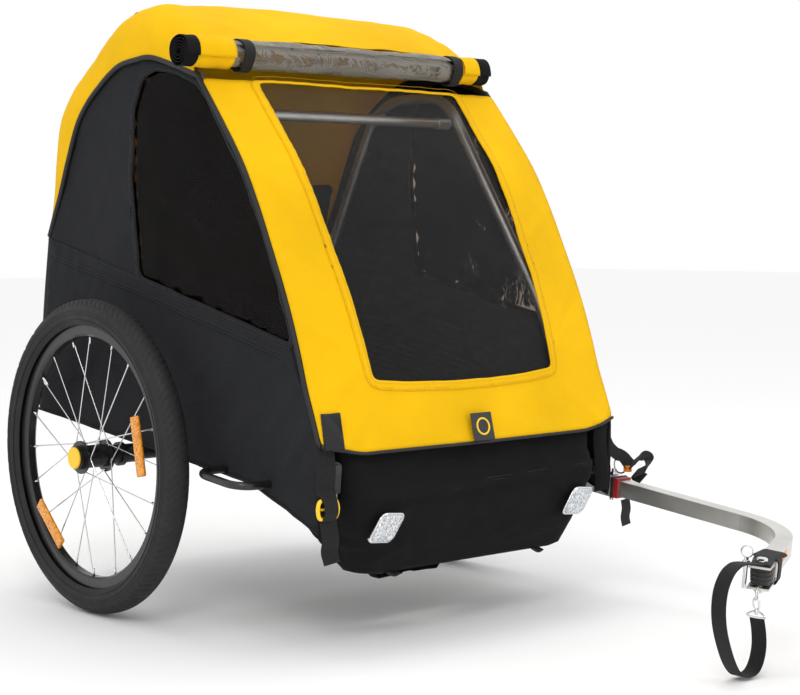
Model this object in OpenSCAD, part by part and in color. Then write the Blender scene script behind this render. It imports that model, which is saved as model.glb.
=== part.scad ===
// Two-seat bicycle trailer: folding tube frame, fabric cabin, spoked
// quick-release wheels and a curved tow bar. Millimetres, +Z up, -Y is
// forward, +X is the trailer's left. The origin is on the ground under
// the middle of the trailer, without its safety strap.

/* [Wheels] */
// Outer radius of the tyre
tyre_r = 248; // [246:1:250]
// Radius of the tyre's round section
tyre_section_r = 23; // [21:1:23]
// Distance from the trailer's middle to each wheel's middle plane
wheel_x = 365; // [363:1:370]
// Number of spokes in a wheel
spoke_count = 20; // [16:4:28]

/* [Cabin] */
// Half width of the cabin, over the side fabric
cabin_half_w = 299; // [298:1:301]
// Thickness of the fabric walls
fabric_t = 3; // [2:0.5:3]
// Half width of the flat middle of the roof
roof_flat_half_w = 244; // [230:1:260]
// How far the front panel bows forward in its middle
front_bow = 12; // [5:1:20]

/* [Frame] */
// Half distance between the two base rails
rail_x = 270; // [266:1:272]
// Height and width of a square base rail
rail_size = 22; // [20:1:22]
// Radius of the side frame tubes
hoop_r = 9; // [7:0.5:9]
// Nose-down slope of the base rails when parked
pitch = 6.2; // [6.2]
// How far the left side frame nests inside the right one
nest = 24; // [22:0.5:26]

/* [Tow bar] */
// Outside height and width of the tow bar's tube
bar_size = 25.4; // [24:0.2:26]
// Radius of the tow bar's bend
bar_bend_r = 150; // [140:1:160]
// Angle of the tow bar's bend
bar_bend = 62; // [58:1:64]

/* [Hidden] */
$fn = 48;
eps = 0.3;                       // air gap between neighbouring pieces

// The axle stands this far behind the origin
axle_y = 339;
cabin_in = cabin_half_w - fabric_t;

// Height of the rails' middle line above a place y, and of the two fold lines
rail_z0 = tyre_r + 24;
function rail_z(y) = rail_z0 + y * tan(pitch);
function fold_z_left(y) = rail_z(y) + rail_size / 2 + hoop_r + 3;
function fold_z_right(y) = fold_z_left(y) + nest;
rail_rear_y = 268;
rail_front_y = -478;
hinge_rear_y = 252;
hinge_front_y = -470;
pin_r = 4;
barrel_r = 9;

// Side arch of the cabin, from the low rear corner over the top to the low front corner
arch = [[235, 594], [217, 628], [198, 663], [172, 718], [141, 776], [108, 810], [69, 836],
        [40, 852], [9, 864], [-33, 869], [-77, 870], [-137, 855], [-203, 834]];
arch_front = [[-203, 834], [-257, 770], [-309, 704], [-347, 640], [-380, 574], [-405, 522],
              [-425, 475], [-443, 425], [-458, 378], [-475, 335], [-489, 297]];
// Ridge of the roof above each point of the arch
ridge = [[240, 594], [246, 650], [250, 710], [250, 767], [222, 822], [175, 862], [120, 900],
         [80, 925], [40, 945], [0, 955], [-60, 953], [-130, 930], [-190, 900]];
rear_low = [278, 300];
// Lower edge of the side panels, front to rear
side_hem = [[-486, 176], [-332, 232], [-218, 245], [53, 276]];
// Outline of the tinted side window
window = [[-32, 531], [-427, 440], [-413, 478], [-371, 568], [-301, 694], [-200, 820],
          [-137, 842], [-85, 850], [-50, 838], [-24, 790], [-16, 690]];

// Webbing
strap_w = 25;
strap_t = 2;

function flat(lists) = [for (l = lists) for (p = l) p];

// Move a piece from axle-based places to the part's own origin
module placed() { translate([0, axle_y, 0]) children(); }
// One child at x and its mirror image at -x
module both_sides() { children(); mirror([1, 0, 0]) children(); }
// Lay a flat y-z outline across the trailer, t thick from x
module across(x, t) { translate([x, 0, 0]) rotate([90, 0, 90]) linear_extrude(t) children(); }
module rod(a, b, r) {
    d = b - a;
    l = norm(d);
    translate(a) rotate([0, acos(d[2] / l), atan2(d[1], d[0])]) cylinder(h = l, r = r);
}
// A step between touching surfaces that would otherwise run into each other
joint_step = 0.1;
// A round tube along flat corner points, bent with a radius at each inner corner
function unit(v) = v / norm(v);
function turn(p, i) = let (u = p[i] - p[i - 1], v = p[i + 1] - p[i])
    atan2(u[0] * v[1] - u[1] * v[0], u * v);
function setback(p, bends, i) = i == 0 || i == len(p) - 1 ? 0 : bends[i] * tan(abs(turn(p, i)) / 2);
module bent_tube(p, bends, r) {
    for (i = [0 : len(p) - 2]) {
        v = unit(p[i + 1] - p[i]);
        a = p[i] + v * setback(p, bends, i);
        b = p[i + 1] - v * setback(p, bends, i + 1);
        rod([a[0], a[1], 0], [b[0], b[1], 0], r);
    }
    for (i = [1 : len(p) - 2]) {
        u = unit(p[i] - p[i - 1]);
        phi = turn(p, i);
        n = (phi > 0 ? 1 : -1) * [-u[1], u[0]];
        centre = p[i] - u * setback(p, bends, i) + n * bends[i];
        translate([centre[0], centre[1], 0])
            rotate([0, 0, atan2(-n[1], -n[0]) + min(phi, 0)])
            rotate_extrude(angle = abs(phi), $fn = 96) translate([bends[i], 0])
                circle(r = r - joint_step);
    }
}
// A closed sheet over a grid of rows of points, thickened by the step vector
module sheet(rows, step) {
    n = len(rows);
    m = len(rows[0]);
    top = flat(rows);
    low = [for (p = top) p + step];
    faces = concat(
        [for (i = [0 : n - 2], j = [0 : m - 2]) [i * m + j, i * m + j + 1, (i + 1) * m + j + 1]],
        [for (i = [0 : n - 2], j = [0 : m - 2]) [i * m + j, (i + 1) * m + j + 1, (i + 1) * m + j]],
        [for (i = [0 : n - 2], j = [0 : m - 2])
            [n * m + (i + 1) * m + j + 1, n * m + i * m + j + 1, n * m + i * m + j]],
        [for (i = [0 : n - 2], j = [0 : m - 2])
            [n * m + (i + 1) * m + j, n * m + (i + 1) * m + j + 1, n * m + i * m + j]],
        [for (j = [0 : m - 2]) [j + 1, j, n * m + j, n * m + j + 1]],
        [for (j = [0 : m - 2]) let (k = (n - 1) * m + j) [k, k + 1, n * m + k + 1, n * m + k]],
        [for (i = [0 : n - 2]) let (k = i * m) [k, k + m, n * m + k + m, n * m + k]],
        [for (i = [0 : n - 2]) let (k = i * m + m - 1) [k + m, k, n * m + k, n * m + k + m]]);
    polyhedron(concat(top, low), faces, convexity = 6);
}

// ---- base frame ----
module sloped_bar(x, y0, y1, w, h, lift = 0) {
    across(x - w / 2, w) polygon([
        [y0, rail_z(y0) + lift - h / 2], [y1, rail_z(y1) + lift - h / 2],
        [y1, rail_z(y1) + lift + h / 2], [y0, rail_z(y0) + lift + h / 2]]);
}
module base_rails() {
    color("silver") placed() both_sides() difference() {
        sloped_bar(rail_x, rail_front_y, rail_rear_y, rail_size, rail_size);
        sloped_bar(rail_x, rail_front_y - 5, rail_rear_y + 5, rail_size - 4, rail_size - 4);
    }
}
cross_ys = [-455, -120, 200];
cross_len = 2 * (rail_x - rail_size / 2);
module cross_tubes() {
    color("silver") placed() for (y = cross_ys) translate([-cross_len / 2, y, rail_z(y)])
        rotate([0, 90, 0]) difference() {
            cylinder(h = cross_len, r = hoop_r);
            translate([0, 0, -1]) cylinder(h = cross_len + 2, r = hoop_r - 2);
        }
}
axle_tube_r = 12;
axle_bore_r = 7.05;
receiver_in = 282;
receiver_out = 330;
module axle_tube() {
    color("dimgray") placed() translate([-receiver_in, 0, tyre_r]) rotate([0, 90, 0])
        difference() {
            cylinder(h = 2 * receiver_in, r = axle_tube_r);
            translate([0, 0, -1]) cylinder(h = 2 * receiver_in + 2, r = axle_tube_r - 2.5);
        }
}
module axle_receivers() {
    color("black") placed() both_sides() translate([receiver_in, 0, tyre_r])
        rotate([0, 90, 0]) difference() {
            union() {
                cylinder(h = receiver_out - receiver_in, r = 15);
                translate([0, 0, 30]) cylinder(h = 8, r = 19);
            }
            translate([0, 0, -1]) cylinder(h = 60, r = axle_bore_r);
        }
}

// ---- folding side frames ----
// The fold axis is parallel to the rails; everything on it is made level, then pitched
module on_fold_line(side, y) {
    x = side * rail_x;
    z = side < 0 ? fold_z_right(y) : fold_z_left(y);
    translate([x, y, z]) rotate([pitch, 0, 0]) children();
}
hinge_half = 16;
ear_t = 4;
fold_lift_right = rail_size / 2 + hoop_r + 3 + nest;
fold_lift_left = rail_size / 2 + hoop_r + 3;
module hinge_bracket(side, y) {
    lift = (side < 0 ? fold_lift_right : fold_lift_left) * cos(pitch);
    base = rail_size / 2 * cos(pitch);
    on_fold_line(side, y) for (s = [-1, 1])
        translate([0, s * (hinge_half + ear_t / 2 + eps) + ear_t / 2, 0]) rotate([90, 0, 0])
            linear_extrude(ear_t) difference() {
                union() {
                    translate([-10, base - lift]) square([20, lift - base]);
                    circle(r = 10);
                }
                circle(r = pin_r + 0.04);
            }
}
hinge_places = [[-1, hinge_rear_y], [-1, hinge_front_y], [1, hinge_rear_y - nest], [1, hinge_front_y + nest]];
module hinge_brackets() {
    color("black") placed() for (p = hinge_places) hinge_bracket(p[0], p[1]);
}
pin_head_t = 3;
pin_half = hinge_half + ear_t + eps + pin_head_t + 0.2;
module hinge_pins() {
    color("gainsboro") placed() for (p = hinge_places) on_fold_line(p[0], p[1])
        translate([0, pin_half, 0]) rotate([90, 0, 0]) {
            cylinder(h = 2 * pin_half, r = pin_r);
            for (z = [0, 2 * pin_half - pin_head_t]) translate([0, 0, z])
                cylinder(h = pin_head_t, r = pin_r + 3);
        }
}
// Corners of a side frame inside the arch, dropped and drawn in for the nested one
function hoop_path(drop, tuck) = [
    [hinge_rear_y - tuck, fold_z_right(hinge_rear_y) - drop], [226 - tuck, 560 - drop],
    [70 - tuck, 856 - drop], [-155 + tuck, 856 - drop], [-390 + tuck, 500 - drop],
    [hinge_front_y + tuck, fold_z_right(hinge_front_y) - drop]];
hoop_bends = [0, 160, 110, 90, 500, 0];
module side_frame(side, drop, tuck) {
    path = hoop_path(drop, tuck);
    ends = [path[0], path[len(path) - 1]];
    difference() {
        union() {
            translate([side * rail_x, 0, 0]) rotate([90, 0, 90]) bent_tube(path, hoop_bends, hoop_r);
            for (p = ends) on_fold_line(side, p[0]) translate([0, hinge_half, 0])
                rotate([90, 0, 0]) cylinder(h = 2 * hinge_half, r = barrel_r + 0.5);
        }
        for (p = ends) on_fold_line(side, p[0]) translate([0, 40, 0])
            rotate([90, 0, 0]) cylinder(h = 80, r = pin_r + 0.05);
    }
}
module side_frame_right() { color("silver") placed() side_frame(-1, 0, 0); }
module side_frame_left() { color("silver") placed() side_frame(1, nest, nest); }

// Crossbars hang under the two side frames, clear of both
crossbar_half = rail_x - hoop_r - 3;
module crossbar(y, z) {
    translate([-crossbar_half, y, z]) rotate([0, 90, 0]) difference() {
        union() {
            cylinder(h = 2 * crossbar_half, r = 8);
            for (x = [0, 2 * crossbar_half - 26]) translate([0, 0, x]) cylinder(h = 26, r = 10);
        }
        translate([0, 0, -1]) cylinder(h = 2 * crossbar_half + 2, r = 6);
    }
}
front_bar_at = [-150, 784];
rear_bar_at = [20, 800];
module front_crossbar() { color("silver") placed() crossbar(front_bar_at[0], front_bar_at[1]); }
module rear_crossbar() { color("silver") placed() crossbar(rear_bar_at[0], rear_bar_at[1]); }

// ---- wheel guards ----
guard_r = 6;
guard_mid = [-317, 241];
guard_half = 55;
guard_out = 353;
module wheel_guards() {
    foot = rail_x + rail_size / 2;
    color("black") placed() both_sides() translate([0, guard_mid[0], guard_mid[1]])
        rotate([pitch, 0, 0]) bent_tube([[foot, -guard_half], [guard_out, -guard_half],
            [guard_out, guard_half], [foot, guard_half]], [0, 30, 30, 0], guard_r);
}
// Where the guards and the tow bar's brackets pass the side fabric
module guard_cuts() {
    translate([cabin_in - 1, guard_mid[0], guard_mid[1]]) rotate([pitch, 0, 0])
        for (y = [-guard_half, guard_half]) translate([0, y - 10, -10]) cube([fabric_t + 2, 20, 20]);
}
tow_bracket_ys = [-440, -365];
module tow_cuts() {
    for (y = tow_bracket_ys) translate([cabin_in - 1, y - 2, rail_z(y) - 51])
        cube([fabric_t + 2, 9, 56]);
}

// ---- cabin fabric ----
panel_outline = concat([rear_low], arch, [for (i = [1 : len(arch_front) - 1]) arch_front[i]], side_hem);
module side_panel() {
    across(cabin_in, fabric_t) difference() {
        polygon(panel_outline);
        polygon(window);
    }
}
module side_window() { across(cabin_in + 0.8, 1.2) offset(delta = -0.2) polygon(window); }
module side_panel_right() {
    color("#26272a") placed() mirror([1, 0, 0]) difference() { side_panel(); guard_cuts(); }
}
module side_panel_left() {
    color("#26272a") placed() difference() { side_panel(); guard_cuts(); tow_cuts(); }
}
module side_window_right() { color("#2c211c") placed() mirror([1, 0, 0]) side_window(); }
module side_window_left() { color("#2c211c") placed() side_window(); }

// A row of roof points above arch point i: round shoulders and a flat, slightly crowned middle
shoulder_steps = [0, 20, 40, 60, 90];
function roof_row(i) = let (
        half = [for (a = shoulder_steps) [
            roof_flat_half_w + (cabin_half_w - roof_flat_half_w) * cos(a),
            arch[i][0] + (ridge[i][0] - arch[i][0]) * sin(a),
            arch[i][1] + eps + 1 + (ridge[i][1] - arch[i][1]) * sin(a)]],
        mid = [0, ridge[i][0], ridge[i][1] + 6])
    concat(half, [mid], [for (k = [len(half) - 1 : -1 : 0]) [-half[k][0], half[k][1], half[k][2]]]);
module roof_cover() {
    color("gold") placed() difference() {
        union() {
            sheet([for (i = [3 : len(arch) - 1]) roof_row(i)], [0, 0, fabric_t]);
            sheet([for (i = [0 : 3]) roof_row(i)], [0, fabric_t, 0]);
        }
        translate([-400, -400, 300]) cube([800, 210, 800]);
        translate([-400, roll_at[0], roll_at[1]]) rotate([0, 90, 0])
            cylinder(h = 800, r = roll_r + 3);
    }
}
function bow(x) = front_bow * (1 - pow(x / cabin_half_w, 2));
front_cols = [-299, -270, -205, -130, -60, 0, 60, 130, 205, 270, 299];
function front_rows(back) = [for (p = arch_front)
    [for (x = front_cols) [x, p[0] - bow(x) + back - eps, p[1]]]];
// Outline of the mesh window, seen from the front
mesh_outline = [[-206, 900], [-203, 760], [-198, 640], [-191, 500], [-184, 383],
                [184, 383], [191, 500], [198, 640], [203, 760], [206, 900]];
module mesh_prism(grow) {
    rotate([90, 0, 0]) linear_extrude(700) offset(delta = grow) polygon(mesh_outline);
}
module front_panel() {
    color("gold") placed() difference() {
        sheet(front_rows(-fabric_t), [0, -fabric_t, 0]);
        mesh_prism(0);
    }
}
module front_mesh() {
    color("#1b1b1b") placed() intersection() {
        sheet(front_rows(-fabric_t - 0.8), [0, -1.2, 0]);
        mesh_prism(-0.3);
    }
}
module rear_panel() {
    color("#26272a") placed() sheet([for (p = [[242, 593, 0], [264, 460, 10], [281, 300, 12]])
        [for (x = [-295, -150, 0, 150, 295]) [x, p[0] + p[2] * (1 - pow(x / 299, 2)), p[1]]]],
        [0, fabric_t, 0]);
}
// Nose: a bumper of fabric between the front hinges, hollow and open to the cabin
nose_back_y = -336;
nose_levels = [[255, -486, 290], [252, -514, 216]];
nose_low_z = 103;
// Underside, seen from above: wide along its front edge, drawn in to the footwell behind
nose_low = [[212, -474], [212, -438], [130, -340]];
module nose_solid(inset, back) {
    half = [for (p = nose_low) [p[0] - inset, max(p[1], -474 + inset)]];
    hull() {
        for (l = nose_levels) translate([-l[0] + inset, l[1] + inset, l[2] + inset])
            cube([2 * (l[0] - inset), nose_back_y - l[1] - inset + back, 4]);
        translate([0, 0, nose_low_z + inset]) linear_extrude(4)
            polygon(concat(half, [for (k = [len(half) - 1 : -1 : 0]) [-half[k][0], half[k][1]]]));
    }
}
module nose_bumper() {
    color("#17181a") placed() difference() {
        nose_solid(0, 0);
        nose_solid(4, 20);
        translate([-300, cross_ys[0], rail_z(cross_ys[0])]) rotate([0, 90, 0])
            cylinder(h = 600, r = hoop_r + eps);
    }
}
// Half width, height and reach backwards of its open top and of its floor
footwell_top = [216, 200, 156];
footwell_low = [62, 60, 36];
module footwell_solid(inset, more) {
    top = footwell_top;
    low = footwell_low;
    hull() {
        translate([-top[0] + inset, nose_back_y + 0.5 - more, top[1]])
            cube([2 * (top[0] - inset), top[2] - inset + more, 2 + more]);
        translate([-low[0] + inset, nose_back_y + 0.5 - more, low[1] + inset])
            cube([2 * (low[0] - inset), low[2] - inset + more, 2]);
    }
}
module footwell() {
    color("#17181a") placed() difference() {
        footwell_solid(0, 0);
        footwell_solid(4, 10);
    }
}
// Floor of the cabin, hung between the rails under the seat
module floor_pan() {
    color("#26272a") placed() across(-rail_x + 12, 2 * (rail_x - 12)) polygon([
        [-110, rail_z(-110) - 8], [190, rail_z(190) - 8],
        [190, rail_z(190) - 5], [-110, rail_z(-110) - 5]]);
}
// Two reflectors on the nose, and the two skid pads under it
module nose_fittings() {
    color("white") placed() both_sides() {
        translate([197, -521, 177]) rotate([8, 0, 0])
            for (part = [[54, 38, 0], [48, 32, -4]]) translate([-part[0] / 2, part[2], -part[1] / 2])
                cube([part[0], 4, part[1]]);
        translate([160, -450, 98.8]) cylinder(h = 4, r = 9);
    }
}

// ---- rolled rain cover ----
roll_at = [-208, 868];
roll_r = 25;
module rolled_rain_cover() {
    color("gold") placed() translate([-336, roll_at[0], roll_at[1]]) rotate([0, 90, 0])
        cylinder(h = 618, r = roll_r);
}
module roll_straps() {
    color("black") placed() for (x = [-222, 208]) translate([x - 10, roll_at[0], roll_at[1]])
        rotate([0, 90, 0]) difference() {
            cylinder(h = 20, r = roll_r + 2.5);
            translate([0, 0, -1]) cylinder(h = 22, r = roll_r + 0.4);
        }
}
// ---- webbing across the front of the right corner, over the panel and down the nose ----
strap_front_y = -502;
module corner_straps() {
    color("black") placed() {
        translate([-309, strap_front_y, 222]) cube([33, 2.5, 78]);
        translate([-306, strap_front_y, 136]) cube([27, 2.5, 80]);
    }
}
module corner_buckles() {
    color("gold") placed() translate([-314, strap_front_y - 6.5, 198]) cube([38, 6, 28]);
}

// ---- seat ----
module seat_cushion() {
    color("dimgray") placed() across(-228, 456) polygon([
        [-105, 269], [120, 292], [120, 330], [-70, 312], [-105, 298]]);
}
module seat_back() {
    color("dimgray") placed() across(-228, 456) polygon([
        [125, 320], [160, 324], [176, 560], [128, 690], [104, 690], [148, 556]]);
}
harness_x = [-150, -78, 78, 150];
module harness() {
    color("black") placed() for (x = harness_x) across(x - 12, 24) polygon([
        [121, 350], [123.5, 350], [144, 552], [141.5, 552]]);
}

// ---- wheels ----
axle_r = 7;
hub_bore_r = axle_r + 0.05;
bearing_r = 14;
hub_half = 26;
module wheel_place(side) {
    placed() mirror([side < 0 ? 1 : 0, 0, 0]) translate([wheel_x, 0, tyre_r]) rotate([0, 90, 0])
        children();
}
module stub_axle(side) {
    wheel_place(side) difference() {
        union() {
            translate([0, 0, -72]) cylinder(h = 72 + hub_half + 2, r = axle_r);
            translate([0, 0, hub_half + 1.5]) cylinder(h = 5, r = 19);
        }
        translate([0, 0, hub_half - 1]) cylinder(h = 8, r = 5.5);
        translate([0, 0, hub_half + 3]) cylinder(h = 8, r = 17.5);
    }
}
module hub_button(side) {
    wheel_place(side) {
        translate([0, 0, hub_half + 6.2]) cylinder(h = 3.5, r = 17.3);
        translate([0, 0, hub_half + 3.2]) cylinder(h = 3.1, r = 5.4);
    }
}
module tyre(side) {
    wheel_place(side) rotate_extrude($fn = 96) difference() {
        union() {
            translate([tyre_r - tyre_section_r, 0]) circle(r = tyre_section_r);
            translate([203, -13]) square([12, 26]);
        }
        translate([199, -9.7]) square([14, 19.4]);
    }
}
module rim(side) {
    wheel_place(side) rotate_extrude($fn = 96) difference() {
        polygon([[190, -6], [193, -9.4], [212, -9.4], [212, -7.4], [204, -7.4], [204, 7.4],
                 [212, 7.4], [212, 9.4], [193, 9.4], [190, 6]]);
        translate([194, -6]) square([7, 12]);
    }
}
spoke_r = 1.0;
flange_r = 22;
rim_in_r = 189.9;
module spokes(side) {
    wheel_place(side) for (i = [0 : spoke_count - 1]) {
        side_z = i % 2 == 0 ? 1 : -1;
        lean = i % 4 < 2 ? 62 : -62;
        a = i * 360 / spoke_count;
        rod([flange_r * cos(a + lean), flange_r * sin(a + lean), side_z * (hub_half - 6.3)],
            [rim_in_r * cos(a), rim_in_r * sin(a), side_z * 2], spoke_r);
    }
}
module hub(side) {
    wheel_place(side) difference() {
        union() {
            translate([0, 0, -hub_half]) cylinder(h = 2 * hub_half, r = 18);
            for (z = [-hub_half + 2, hub_half - 5]) translate([0, 0, z]) cylinder(h = 3, r = 26);
        }
        translate([0, 0, -hub_half - 1]) cylinder(h = 2 * hub_half + 2, r = bearing_r);
    }
}
module bearings(side) {
    wheel_place(side) for (z = [-hub_half + 1, hub_half - 10]) translate([0, 0, z]) difference() {
        cylinder(h = 9, r = bearing_r);
        translate([0, 0, -1]) cylinder(h = 11, r = hub_bore_r);
    }
}
reflector_r = 158;
module wheel_reflectors(side) {
    wheel_place(side) {
        for (a = [259, 42]) rotate([0, 0, a]) translate([reflector_r - 10, -46, 13.8])
            cube([20, 92, 6]);
        rotate([0, 0, 128]) translate([172, 0, 0]) rotate([0, 90, 0]) cylinder(h = 17.8, r = 3);
    }
}
module stub_axle_right() { color("silver") stub_axle(-1); }
module stub_axle_left() { color("silver") stub_axle(1); }
module hub_button_right() { color("gold") hub_button(-1); }
module hub_button_left() { color("gold") hub_button(1); }
module tyre_right() { color("#2a2a2a") tyre(-1); }
module tyre_left() { color("#2a2a2a") tyre(1); }
module rim_right() { color("black") rim(-1); }
module rim_left() { color("black") rim(1); }
module spokes_right() { color("silver") spokes(-1); }
module spokes_left() { color("silver") spokes(1); }
module hub_right() { color("black") hub(-1); }
module hub_left() { color("black") hub(1); }
module bearings_right() { color("silver") bearings(-1); }
module bearings_left() { color("silver") bearings(1); }
module wheel_reflectors_right() { color("orange") wheel_reflectors(-1); }
module wheel_reflectors_left() { color("orange") wheel_reflectors(1); }

// ---- tow bar, in its own frame: out of the receiver along -Y, bending towards -X ----
bar_x = 330;
bar_mouth_y = -484;
bar_mouth_z = 183;
bar_wall = 2;
bar_inside = 130;
bar_straight = 254;
bar_tail = 150;
module bar_frame() {
    placed() translate([bar_x, bar_mouth_y, bar_mouth_z]) rotate([pitch, 0, 0]) children();
}
// Move on to the tow bar's far end, with -Y still pointing along the bar
module bar_end_frame() {
    bar_frame() translate([-bar_bend_r, -bar_straight, 0]) rotate([0, 0, -bar_bend])
        translate([bar_bend_r, -bar_tail, 0]) children();
}
module bar_section(inset = 0) {
    difference() {
        square(bar_size - 2 * inset, center = true);
        square(bar_size - 2 * bar_wall + 2 * inset, center = true);
    }
}
pin_hole_r = 4.05;
pin_back = 16;
module tow_bar() {
    color("silver") {
        bar_frame() {
            difference() {
                translate([0, bar_inside, 0]) rotate([90, 0, 0])
                    linear_extrude(bar_inside + bar_straight) bar_section();
                translate([0, pin_back, -30]) cylinder(h = 60, r = pin_hole_r);
            }
            translate([-bar_bend_r, -bar_straight, 0]) rotate([0, 0, -bar_bend])
                rotate_extrude(angle = bar_bend, $fn = 96) translate([bar_bend_r, 0])
                    bar_section(joint_step);
        }
        bar_end_frame() translate([0, bar_tail, 0]) rotate([90, 0, 0])
            linear_extrude(bar_tail) bar_section();
    }
}
receiver_wall = 3;
receiver_gap = 0.3;
module tow_receiver() {
    out = bar_size + 2 * (receiver_wall + receiver_gap);
    color("silver") difference() {
        union() {
            bar_frame() translate([-out / 2, 6, -out / 2]) cube([out, 140, out]);
            placed() for (y = tow_bracket_ys) translate([rail_x + rail_size / 2, y, rail_z(y) - 48])
                cube([36, 5, 50]);
        }
        bar_frame() {
            hole = bar_size + 2 * receiver_gap;
            translate([-hole / 2, -1, -hole / 2]) cube([hole, 138, hole]);
            translate([0, pin_back, -40]) cylinder(h = 80, r = pin_hole_r);
        }
    }
}
module receiver_gasket() {
    color("black") bar_frame() difference() {
        translate([-17, 1.2, -17]) cube([34, 4.6, 34]);
        translate([-bar_size / 2 - 0.3, 0, -bar_size / 2 - 0.3])
            cube([bar_size + 0.6, 8, bar_size + 0.6]);
    }
}
module tow_bar_collar() {
    color("firebrick") bar_frame() difference() {
        translate([-16, -8, -16]) cube([32, 8.8, 32]);
        translate([-bar_size / 2, -9, -bar_size / 2]) cube([bar_size, 12, bar_size]);
    }
}
module tow_bar_pin() {
    color("silver") bar_frame() translate([0, pin_back, 0]) {
        translate([0, 0, -24]) cylinder(h = 52, r = 4);
        translate([0, 0, 18]) cylinder(h = 5, r = 8);
        translate([0, -13, 36]) rotate([90, 0, 90]) rotate_extrude() translate([13, 0]) circle(r = 1.5);
    }
}
module pin_strap() {
    color("black") placed() {
        translate([cabin_half_w + 0.5, -470, 206]) cube([20, 3, 50]);
        translate([314, -500, 118]) cube([25, 2.5, 44]);
    }
}

// ---- hitch end, built on the tow bar's end frame ----
plate_in = bar_size / 2 + 0.5;
plate_t = 3;
plate_half_w = 15;
connector_y = -26;
ring_hole_y = -38;
bolt_r = 4;
parked_pin_at = [-21, -28];
parked_pin_r = 3;
module end_bracket() {
    color("gainsboro") bar_end_frame() difference() {
        union() {
            for (z = [plate_in, -plate_in - plate_t]) translate([-plate_half_w, -44, z])
                cube([2 * plate_half_w, 74, plate_t]);
            translate([-plate_half_w, -6, -plate_in]) cube([2 * plate_half_w, 3, 2 * plate_in]);
            translate([-27, -34, plate_in]) cube([13, 12, plate_t]);
        }
        translate([0, connector_y, -20]) cylinder(h = 40, r = bolt_r + 0.05);
        translate([0, ring_hole_y, -20]) cylinder(h = 8, r = 4);
        translate([parked_pin_at[0], parked_pin_at[1], 0]) cylinder(h = 20, r = parked_pin_r + 0.05);
    }
}
module bar_wrap() {
    outer = 2 * (plate_in + plate_t + 2.5);
    inner = 2 * (plate_in + plate_t + 0.2);
    color("#17181a") bar_end_frame() {
        difference() {
            translate([-outer / 2, 4, -outer / 2]) cube([outer, 26, outer]);
            translate([-inner / 2, 3, -inner / 2]) cube([inner, 28, inner]);
        }
        difference() {
            translate([-strap_w / 2, -38, inner / 2]) cube([strap_w, 42, strap_t]);
            translate([0, connector_y, 0]) cylinder(h = 30, r = bolt_r + 0.5);
        }
    }
}
module connector_bolt() {
    nut = 6;
    color("gainsboro") bar_end_frame() translate([0, connector_y, 0]) {
        translate([0, 0, -plate_in - plate_t - nut - 2]) cylinder(h = 46, r = bolt_r);
        translate([0, 0, plate_in + plate_t + strap_t + 0.3]) cylinder(h = nut, r = 7.5, $fn = 6);
        translate([0, 0, -plate_in - plate_t - nut]) cylinder(h = nut, r = 7.5, $fn = 6);
    }
}
connector_r = 12.5;
module flex_connector() {
    color("#202020") bar_end_frame() translate([0, connector_y, 0]) difference() {
        union() {
            translate([0, 0, -11]) cylinder(h = 22, r = connector_r);
            for (z = [-6, 0, 6]) translate([0, 0, z - 1.2]) cylinder(h = 2.4, r = connector_r + 1.2);
        }
        translate([0, 0, -13]) cylinder(h = 26, r = bolt_r + 0.05);
    }
}
module hitch_pin() {
    color("silver") bar_end_frame() translate([parked_pin_at[0], parked_pin_at[1], 0]) {
        translate([0, 0, -20]) cylinder(h = 44, r = parked_pin_r);
        translate([0, 0, plate_in + plate_t]) cylinder(h = 3, r = 5);
        translate([0, 0, 31]) rotate([90, 0, 0]) rotate_extrude() translate([8, 0]) circle(r = 1.1);
    }
}
ring_r = 9;
ring_wire = 1.2;
ring_at = [0, ring_hole_y - 5.3, -plate_in - 7.5];
module hook_ring() {
    color("silver") bar_end_frame() translate(ring_at) rotate([0, 90, 0]) rotate_extrude()
        translate([ring_r, 0]) circle(r = ring_wire);
}

// ---- safety strap: a flat webbing loop that hangs from the bar's end to the ground ----
strap_y = -956;
// Middle line of the webbing, from the tab on the bracket down and up to the hook
strap_route = [[78, 151], [69, 152.5], [51, 155.5], [34, 155], [17, 146], [4, 127], [-1, 103],
               [1, 77], [10, 49], [23, 23], [38, 7], [55, 3], [70, 7], [80, 20], [85, 39],
               [84, 59], [80, 77]];
function strap_dir(i) = unit(strap_route[min(i + 1, len(strap_route) - 1)] - strap_route[max(i - 1, 0)]);
function strap_side(i, s) = strap_route[i] + s * strap_t / 2 * [-strap_dir(i)[1], strap_dir(i)[0]];
module safety_strap() {
    n = len(strap_route);
    color("#17181a") placed() translate([0, strap_y + strap_w / 2, 0]) rotate([90, 0, 0])
        linear_extrude(strap_w) polygon(concat([for (i = [0 : n - 1]) strap_side(i, 1)],
                                               [for (i = [n - 1 : -1 : 0]) strap_side(i, -1)]));
}
hook_x = 80;
hook_wire = 1.5;
hook_half_w = 4.5;
hook_low = 90.8;
hook_high = 100.4;
ring_bar_z = 78.6;
module snap_hook() {
    color("silver") placed() translate([hook_x, strap_y + 1, 0]) {
        translate([0, -15, ring_bar_z]) rotate([-90, 0, 0]) cylinder(h = 30, r = hook_wire);
        for (s = [-1, 1]) rod([0, 14 * s, ring_bar_z + 0.2], [0, 2 * s, ring_bar_z + 5.2], hook_wire);
        translate([0, 0, ring_bar_z + 4.2]) cylinder(h = 4.5, r = 3);
        for (s = [-1, 1]) translate([0, s * hook_half_w, hook_low])
            cylinder(h = hook_high - hook_low, r = hook_wire);
        for (e = [[hook_high, 0], [hook_low, 180]]) translate([0, 0, e[0]])
            rotate([e[1], 0, 0]) rotate([90, 0, 90]) rotate_extrude(angle = 180)
            translate([hook_half_w, 0]) circle(r = hook_wire);
    }
}

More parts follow.
